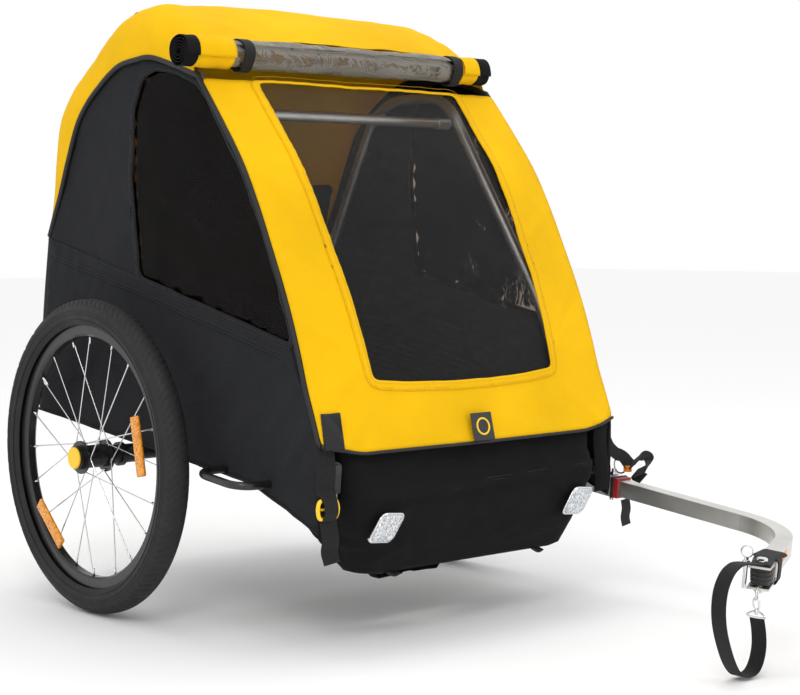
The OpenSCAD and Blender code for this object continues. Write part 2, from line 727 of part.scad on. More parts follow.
base_rails();
cross_tubes();
axle_tube();
axle_receivers();
hinge_brackets();
hinge_pins();
wheel_guards();
floor_pan();
footwell();
nose_bumper();
nose_fittings();
side_panel_right();
side_panel_left();
side_window_right();
side_window_left();
roof_cover();
front_panel();
front_mesh();
rear_panel();
rolled_rain_cover();
roll_straps();
corner_straps();
corner_buckles();
side_frame_right();
side_frame_left();
front_crossbar();
rear_crossbar();
seat_cushion();
seat_back();
harness();
stub_axle_right();
stub_axle_left();
hub_button_right();
hub_button_left();
tyre_right();
tyre_left();
rim_right();
rim_left();
spokes_right();
spokes_left();
hub_right();
hub_left();
bearings_right();
bearings_left();
wheel_reflectors_right();
wheel_reflectors_left();
tow_receiver();
receiver_gasket();
tow_bar();
tow_bar_collar();
tow_bar_pin();
pin_strap();
end_bracket();
bar_wrap();
hook_ring();
connector_bolt();
flex_connector();
hitch_pin();
safety_strap();
snap_hook();
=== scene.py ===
"""Looks of the two-seat bicycle trailer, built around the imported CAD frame.

Places below are in millimetres from the point on the ground under the axle,
as in the CAD source, and place() turns them into the frame's metres.
"""
import math

import bmesh
import bpy
import numpy as np
from mathutils import Matrix, Vector, noise


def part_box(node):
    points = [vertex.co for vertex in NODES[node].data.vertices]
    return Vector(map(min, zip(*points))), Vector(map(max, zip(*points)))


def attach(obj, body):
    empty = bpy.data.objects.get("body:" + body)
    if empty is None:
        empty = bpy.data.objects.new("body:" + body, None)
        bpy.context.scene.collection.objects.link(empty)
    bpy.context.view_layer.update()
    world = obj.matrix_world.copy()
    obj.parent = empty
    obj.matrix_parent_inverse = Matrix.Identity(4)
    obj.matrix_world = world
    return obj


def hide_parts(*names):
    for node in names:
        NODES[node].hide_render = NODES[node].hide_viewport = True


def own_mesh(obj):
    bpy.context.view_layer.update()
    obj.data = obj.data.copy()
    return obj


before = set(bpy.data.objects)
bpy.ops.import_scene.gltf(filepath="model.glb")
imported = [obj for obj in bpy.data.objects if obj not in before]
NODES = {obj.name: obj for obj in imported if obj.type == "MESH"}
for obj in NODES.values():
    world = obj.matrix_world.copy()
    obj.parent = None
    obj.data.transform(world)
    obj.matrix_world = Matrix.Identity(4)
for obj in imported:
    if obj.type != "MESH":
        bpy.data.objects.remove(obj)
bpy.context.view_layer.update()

MM = 0.001
tyre_low, tyre_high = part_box("tyre_right")
AXLE_Y = (tyre_low[1] + tyre_high[1]) / 2
WHEEL_X = -(tyre_low[0] + tyre_high[0]) / 2
TYRE_R = (tyre_high[2] - tyre_low[2]) / 2
HALF_W = 299


def place(points):
    """Millimetres from under the axle to the frame's metres."""
    return np.asarray(points, float) * MM + (0, AXLE_Y, 0)


# ---------------------------------------------------------------- camera, light, floor
CAMERA_LENS = 82.29
CAMERA_AT = [-1886.2, -2476.0, 598.1]
CAMERA_LOOK = (-41.16, 3.60, -0.22)


def look_axes(azimuth, elevation, roll):
    """Right, up and back unit vectors of a camera."""
    a, e, r = (math.radians(v) for v in (azimuth, elevation, roll))
    back = Vector((math.sin(a) * math.cos(e), -math.cos(a) * math.cos(e), math.sin(e)))
    right = Vector((math.cos(a), math.sin(a), 0))
    up = back.cross(right)
    return (math.cos(r) * right + math.sin(r) * up, math.cos(r) * up - math.sin(r) * right, back)


def add_camera():
    data = bpy.data.cameras.new("camera")
    data.lens = CAMERA_LENS
    data.sensor_width = 36
    data.clip_end = 60
    camera = bpy.data.objects.new("camera", data)
    bpy.context.collection.objects.link(camera)
    turn = Matrix(look_axes(*CAMERA_LOOK)).transposed().to_4x4()
    camera.matrix_world = Matrix.Translation(Vector(place(CAMERA_AT))) @ turn
    bpy.context.scene.camera = camera


def add_area(name, spot, target, size, power, tint=(1, 1, 1)):
    data = bpy.data.lights.new(name, "AREA")
    data.shape = "RECTANGLE"
    data.size, data.size_y = size
    data.energy = power
    data.color = tint
    lamp = bpy.data.objects.new(name, data)
    bpy.context.collection.objects.link(lamp)
    lamp.location = spot
    lamp.rotation_euler = (Vector(target) - Vector(spot)).to_track_quat("-Z", "Y").to_euler()
    return lamp


def add_studio():
    bpy.context.scene.view_settings.view_transform = "Standard"
    world = bpy.data.worlds.new("studio")
    bpy.context.scene.world = world
    world.use_nodes = True
    background = world.node_tree.nodes["Background"]
    background.inputs["Color"].default_value = (1, 1, 1, 1)
    background.inputs["Strength"].default_value = 1.0
    add_area("key_light", (-2.6, -2.4, 3.2), (0, 0, 0.5), (1.3, 1.3), 38)
    add_area("top_light", (0.3, 0.4, 3.4), (0, 0, 0.5), (1.8, 1.8), 20)
    add_area("front_light", (1.8, -3.4, 1.4), (0, 0, 0.4), (1.2, 1.2), 8)
    bpy.ops.mesh.primitive_plane_add(size=40, location=(0, 0, -0.0015))
    floor = bpy.context.object
    floor.name = "studio_floor"
    floor.data.materials.append(new_material("studio_floor", (0.93, 0.93, 0.93), 0.7)[0])


# ---------------------------------------------------------------- materials
def new_material(name, color, roughness, **sockets):
    """A Principled material; other sockets by name, with _ for a space."""
    material = bpy.data.materials.new(name)
    material.use_nodes = True
    tree = material.node_tree
    shader = tree.nodes["Principled BSDF"]
    shader.inputs["Base Color"].default_value = (*color, 1)
    shader.inputs["Roughness"].default_value = roughness
    for key, value in sockets.items():
        shader.inputs[key.replace("_", " ")].default_value = value
    return material, tree, shader


def node(tree, kind, inputs=None, **settings):
    made = tree.nodes.new(kind)
    for key, value in settings.items():
        setattr(made, key, value)
    for key, value in (inputs or {}).items():
        if isinstance(value, bpy.types.NodeSocket):
            tree.links.new(value, made.inputs[key])
        else:
            made.inputs[key].default_value = value
    return made


def coords(tree, space, scale):
    source = node(tree, "ShaderNodeTexCoord")
    return node(tree, "ShaderNodeMapping", {"Vector": source.outputs[space], "Scale": scale}).outputs[0]


def noise_node(tree, vector, scale, detail=3.0, roughness=0.5, distortion=0.0):
    return node(tree, "ShaderNodeTexNoise", {
        "Vector": vector, "Scale": scale, "Detail": detail, "Roughness": roughness,
        "Distortion": distortion}).outputs["Fac"]


def spread(tree, factor, low, high, to_low, to_high):
    """Map a factor's useful range onto an output range."""
    return node(tree, "ShaderNodeMapRange", {
        "Value": factor, "From Min": low, "From Max": high, "To Min": to_low,
        "To Max": to_high}).outputs[0]


def mix_color(tree, factor, a, b, blend="MIX"):
    made = node(tree, "ShaderNodeMix", data_type="RGBA", blend_type=blend)
    for socket, value in ((0, factor), (6, a), (7, b)):
        if isinstance(value, bpy.types.NodeSocket):
            tree.links.new(value, made.inputs[socket])
        else:
            made.inputs[socket].default_value = value if socket == 0 else (*value, 1)
    return made.outputs[2]


def bump(tree, height, distance, strength=1.0, normal=None):
    inputs = {"Height": height, "Distance": distance, "Strength": strength}
    if normal is not None:
        inputs["Normal"] = normal
    return node(tree, "ShaderNodeBump", inputs).outputs[0]


def math_node(tree, operation, a, b):
    return node(tree, "ShaderNodeMath", {0: a, 1: b}, operation=operation).outputs[0]


def woven(name, color, shade, pitch=1.3, heather=0.25, sheen=0.25, crease=0.0025, space="UV",
          roughness=0.86):
    """Plain-weave cloth: threads at a real pitch (mm), a mottled yarn colour, broad patches of painted
    wrinkle shade and soft creases.
    """
    material, tree, shader = new_material(name, color, roughness, Sheen_Weight=sheen,
                                          Sheen_Roughness=0.5, Specular_IOR_Level=0.16)
    vector = coords(tree, space, (1, 1, 1))
    waves = []
    for axis in ("X", "Y"):
        waves.append(node(tree, "ShaderNodeTexWave", {
            "Vector": vector, "Scale": 314.0 / pitch, "Distortion": 0.6, "Detail": 1.0,
            "Detail Scale": 2.0}, wave_type="BANDS", bands_direction=axis).outputs["Fac"])
    weave = math_node(tree, "MAXIMUM", waves[0], waves[1])
    yarn = noise_node(tree, vector, 420.0, 2.0, 0.7)
    # broad noise patches for painted shade and light, standing in for slight wrinkles in the cloth
    patches = noise_node(tree, vector, 5.0, 3.0, 0.55)
    tone = spread(tree, yarn, 0.3, 0.7, 0.0, 1.0)
    mottled = mix_color(tree, math_node(tree, "MULTIPLY", tone, heather), color, shade)
    # painted wrinkle shade: the yarn colour scaled from 0.86 to 1.08 in broad patches
    light = spread(tree, patches, 0.25, 0.75, 0.86, 1.08)
    shaded = mix_color(tree, 1.0, mottled, (1, 1, 1), "MULTIPLY")
    scaled = node(tree, "ShaderNodeVectorMath", {0: shaded, "Scale": light}, operation="SCALE")
    tree.links.new(scaled.outputs[0], shader.inputs["Base Color"])
    folds = noise_node(tree, vector, 9.0, 3.0, 0.5, 0.7)
    soft = bump(tree, folds, crease, 0.8)
    tree.links.new(bump(tree, weave, 0.0003, 0.55, soft), shader.inputs["Normal"])
    return material


def webbing_material(name, color=(0.004, 0.004, 0.0045)):
    """Ribbed black webbing: cross ribs and a fine diagonal yarn."""
    material, tree, shader = new_material(name, color, 0.72, Sheen_Weight=0.05,
                                          Specular_IOR_Level=0.3)
    vector = coords(tree, "UV", (1, 1, 1))
    ribs = node(tree, "ShaderNodeTexWave", {"Vector": vector, "Scale": 210.0, "Distortion": 0.8,
                "Detail": 1.0}, wave_type="BANDS", bands_direction="DIAGONAL").outputs["Fac"]
    cross = node(tree, "ShaderNodeTexWave", {"Vector": vector, "Scale": 300.0, "Distortion": 0.3},
                 wave_type="BANDS", bands_direction="X").outputs["Fac"]
    height = math_node(tree, "ADD", ribs, cross)
    tree.links.new(bump(tree, height, 0.0004, 0.7), shader.inputs["Normal"])
    tone = noise_node(tree, vector, 160.0, 3.0, 0.6)
    tree.links.new(mix_color(tree, spread(tree, tone, 0.3, 0.7, 0.0, 1.0), color,
                             tuple(2.1 * c for c in color)), shader.inputs["Base Color"])
    return material


def metal(name, color, roughness, grain=(30, 30, 30), streak=0.12, depth=0.00005, space="Object"):
    material, tree, shader = new_material(name, color, roughness, Metallic=1.0)
    vector = coords(tree, space, grain)
    streaks = noise_node(tree, vector, 10.0, 4.0, 0.6)
    tree.links.new(spread(tree, streaks, 0.25, 0.75, max(roughness - streak, 0.04),
                          roughness + streak), shader.inputs["Roughness"])
    smudge = noise_node(tree, coords(tree, "Object", (1, 1, 1)), 14.0, 3.0, 0.6)
    tree.links.new(mix_color(tree, spread(tree, smudge, 0.3, 0.75, 0.0, 1.0), color,
                             tuple(c * 0.82 for c in color)), shader.inputs["Base Color"])
    tree.links.new(bump(tree, streaks, depth, 0.6), shader.inputs["Normal"])
    return material


def moulded(name, color, roughness, grain=900.0, depth=0.00012, wear=0.25, **sockets):
    """Moulded plastic, rubber or paint: a fine grain and worn, dusty patches."""
    material, tree, shader = new_material(name, color, roughness, **sockets)
    vector = coords(tree, "Object", (1, 1, 1))
    pores = noise_node(tree, vector, grain, 2.0, 0.6)
    dust = noise_node(tree, vector, 22.0, 4.0, 0.65)
    worn = spread(tree, dust, 0.45, 0.8, 0.0, wear)
    lighter = tuple(min(c * 1.5 + 0.02, 1) for c in color)
    tree.links.new(mix_color(tree, worn, color, lighter), shader.inputs["Base Color"])
    tree.links.new(spread(tree, dust, 0.3, 0.8, roughness * 0.85, min(roughness * 1.25, 1)),
                   shader.inputs["Roughness"])
    tree.links.new(bump(tree, pores, depth, 0.5), shader.inputs["Normal"])
    return material


def see_through(name, tint, body, roughness, haze, ripple=0.002):
    """Thin film: tinted light passes straight through, under a rippled skin that mirrors more
    light at a slant."""
    material, tree, shader = new_material(name, body, roughness, Specular_IOR_Level=0.9)
    vector = coords(tree, "UV", (1, 1, 1))
    ripples = noise_node(tree, vector, 14.0, 4.0, 0.55, 1.2)
    normal = bump(tree, ripples, ripple, 0.9)
    tree.links.new(normal, shader.inputs["Normal"])
    clouds = noise_node(tree, vector, 6.0, 3.0, 0.6)
    clear = node(tree, "ShaderNodeBsdfTransparent", {"Color": (*tint, 1)})
    skin = node(tree, "ShaderNodeFresnel", {"IOR": 1.45, "Normal": normal}).outputs[0]
    cover = math_node(tree, "ADD", skin, spread(tree, clouds, 0.3, 0.7, haze * 0.6, haze * 1.4))
    blend = node(tree, "ShaderNodeMixShader", {0: cover, 1: clear.outputs[0], 2: shader.outputs[0]})
    tree.links.new(blend.outputs[0], tree.nodes["Material Output"].inputs["Surface"])
    return material


def net(name, color, pitch, wire):
    """Woven netting: round-cornered holes at a real pitch (mm) between fine threads."""
    material, tree, shader = new_material(name, color, 0.75, Sheen_Weight=0.2)
    vector = coords(tree, "UV", (1000 / pitch, 1000 / pitch, 1))
    parts = node(tree, "ShaderNodeSeparateXYZ", {"Vector": vector})
    away = []
    for axis in ("X", "Y"):
        saw = math_node(tree, "FRACT", parts.outputs[axis], 0.0)
        away.append(math_node(tree, "ABSOLUTE", math_node(tree, "SUBTRACT", saw, 0.5), 0.0))
    edge = math_node(tree, "MAXIMUM", away[0], away[1])
    thread = spread(tree, edge, 0.5 - wire / pitch, 0.5 - wire / pitch + 0.06, 0.0, 1.0)
    tree.links.new(bump(tree, edge, 0.0004, 0.8), shader.inputs["Normal"])
    clear = node(tree, "ShaderNodeBsdfTransparent")
    blend = node(tree, "ShaderNodeMixShader", {0: thread, 1: clear.outputs[0], 2: shader.outputs[0]})
    tree.links.new(blend.outputs[0], tree.nodes["Material Output"].inputs["Surface"])
    return material


def prism_plastic(name, color, roughness=0.12, metallic=0.45):
    """Reflector lens: a grid of tiny cube corners under a glossy skin, each cell painted lighter or darker
    as a painted glint of its facets.
    """
    material, tree, shader = new_material(name, color, roughness, Coat_Weight=0.3,
                                          Coat_Roughness=0.05)
    cells = node(tree, "ShaderNodeTexVoronoi", {
        "Vector": coords(tree, "Object", (1, 1, 1)), "Scale": 480.0}, feature="F1")
    # painted glints: each cube-corner cell's colour is set lighter or darker, as if its facets caught the
    # light
    tone = spread(tree, cells.outputs["Color"], 0.2, 0.8, 0.0, 1.0)
    tree.links.new(mix_color(tree, tone, tuple(min(1, c * 1.3) for c in color),
                             tuple(c * 0.55 for c in color)), shader.inputs["Base Color"])
    shader.inputs["Metallic"].default_value = metallic
    tree.links.new(bump(tree, cells.outputs["Distance"], 0.0006, 0.9), shader.inputs["Normal"])
    return material


M = {
    "yellow": woven("yellow_cloth", (0.86, 0.50, 0.0008), (0.76, 0.41, 0.0006), 0.9, 0.45, 0.0, 0.003),
    "charcoal": woven("charcoal_cloth", (0.0075, 0.008, 0.0095), (0.026, 0.027, 0.031), 1.4, 0.75,
                      0.02),
    "black_cloth": woven("black_cloth", (0.003, 0.003, 0.0035), (0.011, 0.011, 0.0125), 1.2, 0.6,
                         0.0, 0.004),
    "seat": woven("seat_cloth", (0.012, 0.012, 0.014), (0.035, 0.035, 0.04), 2.0, 0.7, 0.04, 0.002,
                  "Object"),
    "piping": moulded("black_piping", (0.006, 0.006, 0.007), 0.6, 1400.0, 0.0002, 0.15),
    "thread": moulded("yellow_thread", (0.75, 0.42, 0.02), 0.7),
    "dark_thread": moulded("black_thread", (0.03, 0.03, 0.033), 0.7),
    "webbing": webbing_material("black_webbing"),
    "film": see_through("tinted_film", (0.60, 0.534, 0.485), (0.01, 0.008, 0.007), 0.16, 0.03),
    "vinyl": see_through("clear_vinyl", (0.95, 0.94, 0.91), (0.42, 0.40, 0.37), 0.07, 0.04, 0.010),
    "net": net("black_net", (0.012, 0.012, 0.013), 1.8, 0.20),
    "aluminium": metal("brushed_aluminium", (0.66, 0.655, 0.64), 0.42, (4, 60, 60), 0.12),
    "bar_metal": metal("tow_bar_aluminium", (0.72, 0.705, 0.67), 0.40, (2, 260, 1), 0.10, 0.00004,
                       "UV"),
    "chrome": metal("bright_steel", (0.78, 0.78, 0.78), 0.13, (20, 20, 20), 0.06),
    "steel": metal("plated_steel", (0.62, 0.61, 0.58), 0.28, (20, 20, 20), 0.08),
    "black_paint": moulded("black_paint", (0.006, 0.006, 0.0065), 0.36, 700.0, 0.00008, 0.12,
                           Coat_Weight=0.25),
    "black_plastic": moulded("black_plastic", (0.018, 0.018, 0.02), 0.55, 1200.0, 0.0002),
    "yellow_plastic": moulded("yellow_plastic", (0.93, 0.56, 0.01), 0.38, 900.0, 0.00006, 0.1),
    "orange_label": moulded("orange_label", (0.82, 0.21, 0.01), 0.35, 500.0, 0.00004, 0.1),
    "red_plastic": moulded("red_plastic", (0.30, 0.012, 0.012), 0.42, 900.0, 0.00006, 0.15),
    "tyre": moulded("tyre_rubber", (0.009, 0.009, 0.0095), 0.74, 600.0, 0.0003, 0.2),
    "connector": moulded("black_rubber", (0.014, 0.014, 0.015), 0.6, 500.0, 0.0002, 0.2),
    "clear_reflector": prism_plastic("clear_reflector", (0.60, 0.62, 0.64)),
    "orange_reflector": prism_plastic("orange_reflector", (0.95, 0.30, 0.004), 0.2, 0.0),
    "fuzz": moulded("hook_and_loop", (0.007, 0.007, 0.008), 0.95, 1900.0, 0.0012, 0.3,
                    Sheen_Weight=0.08),
}


# ---------------------------------------------------------------- mesh tools
def smooth(points, count):
    """A Catmull-Rom curve through the points, as count points evenly along it."""
    p = np.asarray(points, float)
    ends = np.vstack([2 * p[0] - p[1], p, 2 * p[-1] - p[-2]])
    t = np.linspace(0, 1, 24, endpoint=False)[:, None]
    parts = []
    for a, b, c, d in zip(ends[:-3], ends[1:-2], ends[2:-1], ends[3:]):
        parts.append(0.5 * (2 * b + (c - a) * t + (2 * a - 5 * b + 4 * c - d) * t ** 2
                            + (3 * b - a - 3 * c + d) * t ** 3))
    dense = np.vstack(parts + [p[-1:]])
    return evenly(dense, count)


def evenly(points, count):
    """The same polyline as count points evenly along it."""
    p = np.asarray(points, float)
    run = np.concatenate([[0], np.cumsum(np.linalg.norm(np.diff(p, axis=0), axis=1))])
    at = np.linspace(0, run[-1], count)
    return np.stack([np.interp(at, run, p[:, k]) for k in range(p.shape[1])], axis=1)


def finish_mesh(name, vertices, faces, material, uv=None, smooth_shade=True):
    """A mesh object from millimetre vertices; uv is one metre pair for each vertex."""
    mesh = bpy.data.meshes.new(name)
    mesh.from_pydata([tuple(v) for v in place(vertices)], [], faces)
    if uv is not None:
        layer = mesh.uv_layers.new(name="UVMap")
        index = np.empty(len(mesh.loops), int)
        mesh.loops.foreach_get("vertex_index", index)
        layer.data.foreach_set("uv", np.asarray(uv, float)[index].ravel())
    mesh.polygons.foreach_set("use_smooth", [smooth_shade] * len(mesh.polygons))
    mesh.materials.append(material)
    mesh.validate()
    piece = bpy.data.objects.new(name, mesh)
    bpy.context.collection.objects.link(piece)
    return piece


def grid_faces(n, m, wrap_rows=False, wrap_cols=False):
    rows = n if wrap_rows else n - 1
    cols = m if wrap_cols else m - 1
    return [(i * m + j, i * m + (j + 1) % m, (i + 1) % n * m + (j + 1) % m, (i + 1) % n * m + j)
            for i in range(rows) for j in range(cols)]


def grid_uv(grid):
    """Lengths along and across the grid's middle, in metres."""
    n, m = grid.shape[:2]
    along = np.linalg.norm(np.diff(grid[:, m // 2], axis=0), axis=1)
    across = np.linalg.norm(np.diff(grid[n // 2], axis=0), axis=1)
    u = np.concatenate([[0], np.cumsum(across)]) * MM
    v = np.concatenate([[0], np.cumsum(along)]) * MM
    return np.stack(np.meshgrid(u, v), axis=-1).reshape(-1, 2)


def normals_of(grid):
    du = np.gradient(grid, axis=1)
    dv = np.gradient(grid, axis=0)
    n = np.cross(du, dv)
    return n / np.maximum(np.linalg.norm(n, axis=2, keepdims=True), 1e-9)


def crumple(grid, height, scale, seed, mask=1.0):
    """Push a grid in and out by smooth noise, height and scale in mm; scale may differ by axis."""
    scales = np.broadcast_to(np.asarray(scale, float), 3)
    flat = grid.reshape(-1, 3) / scales + seed * 7.31
    value = np.array([noise.fractal(Vector(p), 0.9, 2.1, 3) for p in flat]).reshape(grid.shape[:2])
    return grid + normals_of(grid) * (value * height * mask)[..., None]


def thicken(piece, thickness, offset=-1.0, even=False):
    if not thickness:
        return piece
    made = piece.modifiers.new("thickness", "SOLIDIFY")
    made.thickness = thickness * MM
    made.offset = offset
    made.use_even_offset = even
    return piece


def cloth_grid(name, grid, material, thickness=1.2, offset=-1.0):
    n, m = grid.shape[:2]
    piece = finish_mesh(name, grid.reshape(-1, 3), grid_faces(n, m), material, grid_uv(grid))
    return thicken(piece, thickness, offset)


def tube(name, path, radius, material, sides=10, closed=False, caps=True):
    """A round tube along a path of mm points; radius may be one number for each point."""
    p = np.asarray(path, float)
    radii = np.broadcast_to(radius, len(p))
    vertices, uv = [], []
    tangents = np.gradient(p, axis=0)
    if closed:
        tangents = np.roll(p, -1, 0) - np.roll(p, 1, 0)
    tangents /= np.linalg.norm(tangents, axis=1, keepdims=True)
    side = np.cross(tangents[0], (0.31, 0.23, 0.92))
    run = 0.0
    for k, (point, tangent) in enumerate(zip(p, tangents)):
        side = side - tangent * (side @ tangent)
        side /= np.linalg.norm(side)
        other = np.cross(tangent, side)
        run += np.linalg.norm(p[k] - p[k - 1]) * MM if k else 0
        for s in range(sides):
            angle = 2 * math.pi * s / sides
            vertices.append(point + radii[k] * (math.cos(angle) * side + math.sin(angle) * other))
            uv.append((run, radii[k] * angle * MM))
    faces = grid_faces(len(p), sides, wrap_rows=closed, wrap_cols=True)
    if caps and not closed:
        faces.append(tuple(range(sides))[::-1])
        faces.append(tuple((len(p) - 1) * sides + s for s in range(sides)))
    return finish_mesh(name, vertices, faces, material, uv)


def ribbon(name, path, across, width, thickness, material):
    """Flat webbing along a path of mm points; across is the width's direction at each point."""
    p = np.asarray(path, float)
    w = np.broadcast_to(np.asarray(across, float), p.shape).copy()
    tangents = np.gradient(p, axis=0)
    tangents /= np.linalg.norm(tangents, axis=1, keepdims=True)
    w -= tangents * (w * tangents).sum(1, keepdims=True)
    w /= np.linalg.norm(w, axis=1, keepdims=True)
    up = np.cross(tangents, w)
    half, t = np.broadcast_to(width, len(p)) / 2, thickness / 2
    section = [(-1, 0, -0.4), (-1, t, -1), (1, t, -1), (1, 0, -0.4), (1, 0, 0.4), (1, t, 1),
               (-1, t, 1), (-1, 0, 0.4)]
    run = np.concatenate([[0], np.cumsum(np.linalg.norm(np.diff(p, axis=0), axis=1))]) * MM
    vertices = [p[k] + side * (half[k] - inset) * w[k] + b * t * up[k]
                for k in range(len(p)) for side, inset, b in section]
    uv = [(run[k], side * half[k] * MM) for k in range(len(p)) for side, _, _ in section]
    n = len(section)
    faces = grid_faces(len(p), n, wrap_cols=True)
    faces += [tuple(range(n))[::-1], tuple((len(p) - 1) * n + s for s in range(n))]
    return finish_mesh(name, vertices, faces, material, uv, smooth_shade=False)


def stitches(name, path, lift, material, length=3.2, gap=1.6, radius=0.45):
    """A row of thread dashes along a path, lifted off the cloth by a mm vector."""
    p = np.asarray(path, float)
    total = np.linalg.norm(np.diff(p, axis=0), axis=1).sum()
    count = max(2, int(total / (length + gap)))
    q = evenly(p, 2 * count + 1) + np.asarray(lift, float)
    vertices, faces = [], []
    for k in range(count):
        a, b = q[2 * k], q[2 * k] + (q[2 * k + 1] - q[2 * k]) * (1 + 0.5 * (length - gap) / length)
        d = (b - a) / max(np.linalg.norm(b - a), 1e-9)
        s = np.cross(d, (0.3, 0.5, 0.81))
        s /= np.linalg.norm(s)
        o = np.cross(d, s)
        base = len(vertices)
        for c, r in ((a, 0.3), (a + d * 0.5, 1), (b - d * 0.5, 1), (b, 0.3)):
            for x, y in ((1, 0), (0, 1), (-1, 0), (0, -1)):
                vertices.append(c + radius * r * (x * s + y * o))
        for ring in range(3):
            for e in range(4):
                f = base + ring * 4
                faces.append((f + e, f + (e + 1) % 4, f + 4 + (e + 1) % 4, f + 4 + e))
        faces += [tuple(base + e for e in (3, 2, 1, 0)), tuple(base + 12 + e for e in range(4))]
    return finish_mesh(name, vertices, faces, material)


def join(name, pieces):
    """Join pieces with one shared set of materials into one object."""
    with bpy.context.temp_override(active_object=pieces[0], object=pieces[0],
                                   selected_editable_objects=pieces, selected_objects=pieces):
        bpy.ops.object.join()
    pieces[0].name = name
    return pieces[0]


def settle(piece, body="base", replaces=(), fold=False):
    """Attach a finished piece to its body, hide the CAD nodes it stands for, and with fold give it its own
    copy of its mesh.
    """
    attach(piece, body)
    if replaces:
        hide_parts(*([replaces] if isinstance(replaces, str) else replaces))
    if fold:
        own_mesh(piece)
    return piece


def inside(points, loop):
    """Which flat points lie inside a closed loop."""
    x, y = points[:, 0][:, None], points[:, 1][:, None]
    a, b = loop, np.roll(loop, -1, 0)
    spans = (a[:, 1] > y) != (b[:, 1] > y)
    rise = np.where(b[:, 1] == a[:, 1], 1e-9, b[:, 1] - a[:, 1])
    return (spans & (x < (b[:, 0] - a[:, 0]) * (y - a[:, 1]) / rise + a[:, 0])).sum(1) % 2 == 1


def ring(points, step):
    """A closed loop of points about one step apart, corners lightly rounded."""
    p = np.vstack([points, points[:1]])
    length = np.linalg.norm(np.diff(p, axis=0), axis=1).sum()
    even = evenly(p, max(8, int(length / step)) + 1)[:-1]
    return (np.roll(even, 1, 0) + 2 * even + np.roll(even, -1, 0)) / 4


def grow(loop, distance):
    """A closed loop moved outwards (for an anticlockwise loop) by a distance."""
    tangent = np.roll(loop, -1, 0) - np.roll(loop, 1, 0)
    normal = np.stack([tangent[:, 1], -tangent[:, 0]], 1)
    normal /= np.linalg.norm(normal, axis=1, keepdims=True)
    return loop + normal * distance


def cut_sheet(name, outline, holes, step, shape, material, thickness=1.2, offset=-1.0, rounded=True):
    """A cloth sheet over a flat outline with holes; shape turns flat points into mm places."""
    from mathutils.geometry import delaunay_2d_cdt
    loops = [ring(np.asarray(loop, float), step * 0.8) if rounded else np.asarray(loop, float)
             for loop in [outline, *holes]]
    edge_points = np.vstack(loops)
    low, high = edge_points.min(0), edge_points.max(0)
    gx, gy = np.meshgrid(np.arange(low[0], high[0], step), np.arange(low[1], high[1], step * 0.87))
    gx[1::2] += step / 2
    grid = np.stack([gx.ravel(), gy.ravel()], 1)
    keep = inside(grid, loops[0])
    for hole in loops[1:]:
        keep &= ~inside(grid, hole)
    grid = grid[keep]
    gap = np.concatenate([np.linalg.norm(part[:, None] - edge_points[None], axis=2).min(1)
                          for part in np.array_split(grid, max(1, len(grid) // 2000))])
    grid = grid[gap > 0.5 * step]
    edges, start = [], 0
    for loop in loops:
        n = len(loop)
        edges += [(start + k, start + (k + 1) % n) for k in range(n)]
        start += n
    flat = [Vector(p) for p in np.vstack([edge_points, grid])]
    points, _, triangles = delaunay_2d_cdt(flat, edges, [], 0, 1e-4)[:3]
    points = np.array([tuple(p) for p in points])
    triangles = np.array(triangles)
    middles = points[triangles].mean(1)
    good = inside(middles, loops[0])
    for hole in loops[1:]:
        good &= ~inside(middles, hole)
    faces = [tuple(int(v) for v in t) for t in triangles[good]]
    piece = finish_mesh(name, shape(points), faces, material, points * MM)
    return thicken(piece, thickness, offset)


def wave(points, scale, seed, octaves=3):
    """Smooth noise in -1..1 at points scaled by mm lengths."""
    q = np.asarray(points, float) / np.asarray(scale, float)
    if q.shape[1] == 2:
        q = np.column_stack([q, np.full(len(q), 0.37)])
    return np.array([noise.fractal(Vector(p + seed * 5.13), 0.8, 2.1, octaves) for p in q])


def crease_lines(points, lines, width):
    """A soft ridge along each flat line, fading out at the line's ends; 0..1."""
    total = np.zeros(len(points))
    for a, b, strength in lines:
        a, b = np.asarray(a, float), np.asarray(b, float)
        run = b - a
        t = ((points - a) @ run) / (run @ run)
        away = np.linalg.norm(points - (a + np.clip(t, 0, 1)[:, None] * run), axis=1)
        fade = np.clip(np.minimum(t, 1 - t) * 5 + 0.25, 0, 1)
        total += strength * fade * np.exp(-(away / width) ** 2)
    return total


# ---------------------------------------------------------------- cabin fabric
ARCH = [[235, 594], [217, 628], [198, 663], [172, 718], [141, 776], [108, 810], [69, 836],
        [40, 852], [9, 864], [-33, 869], [-77, 870], [-137, 855], [-203, 834]]
ARCH_FRONT = [[-203, 834], [-257, 770], [-309, 704], [-347, 640], [-380, 574], [-405, 522],
              [-425, 475], [-443, 425], [-458, 378], [-475, 335], [-489, 297]]
RIDGE = [[240, 594], [246, 650], [250, 710], [250, 767], [222, 822], [175, 862], [120, 900],
         [80, 925], [40, 945], [0, 955], [-60, 951], [-130, 922], [-192, 884]]
REAR_LOW = [278, 300]
SIDE_HEM = [[-486, 176], [-332, 232], [-218, 245], [53, 276]]
WINDOW = [[-32, 531], [-427, 440], [-413, 478], [-371, 568], [-301, 694], [-200, 820],
          [-137, 842], [-85, 850], [-50, 838], [-24, 790], [-16, 690]]
MESH_HOLE = [[0, 375], [40, 375], [120, 378], [184, 384], [191, 500], [198, 640], [203, 760],
             [206, 900]]
ROLL_AT = (-208, 868)
ROLL_R = 25
STRAP_X = (-222, 208)

front_curve = smooth(ARCH_FRONT + [[-495, 275]], 96)
front_run = np.concatenate([[0], np.cumsum(np.linalg.norm(np.diff(front_curve, axis=0), axis=1))])
FRONT_LENGTH = front_run[-1] - 22


def front_s(z):
    """Length down the front panel's curve to a height."""
    return float(np.interp(-z, -front_curve[:, 1], front_run))


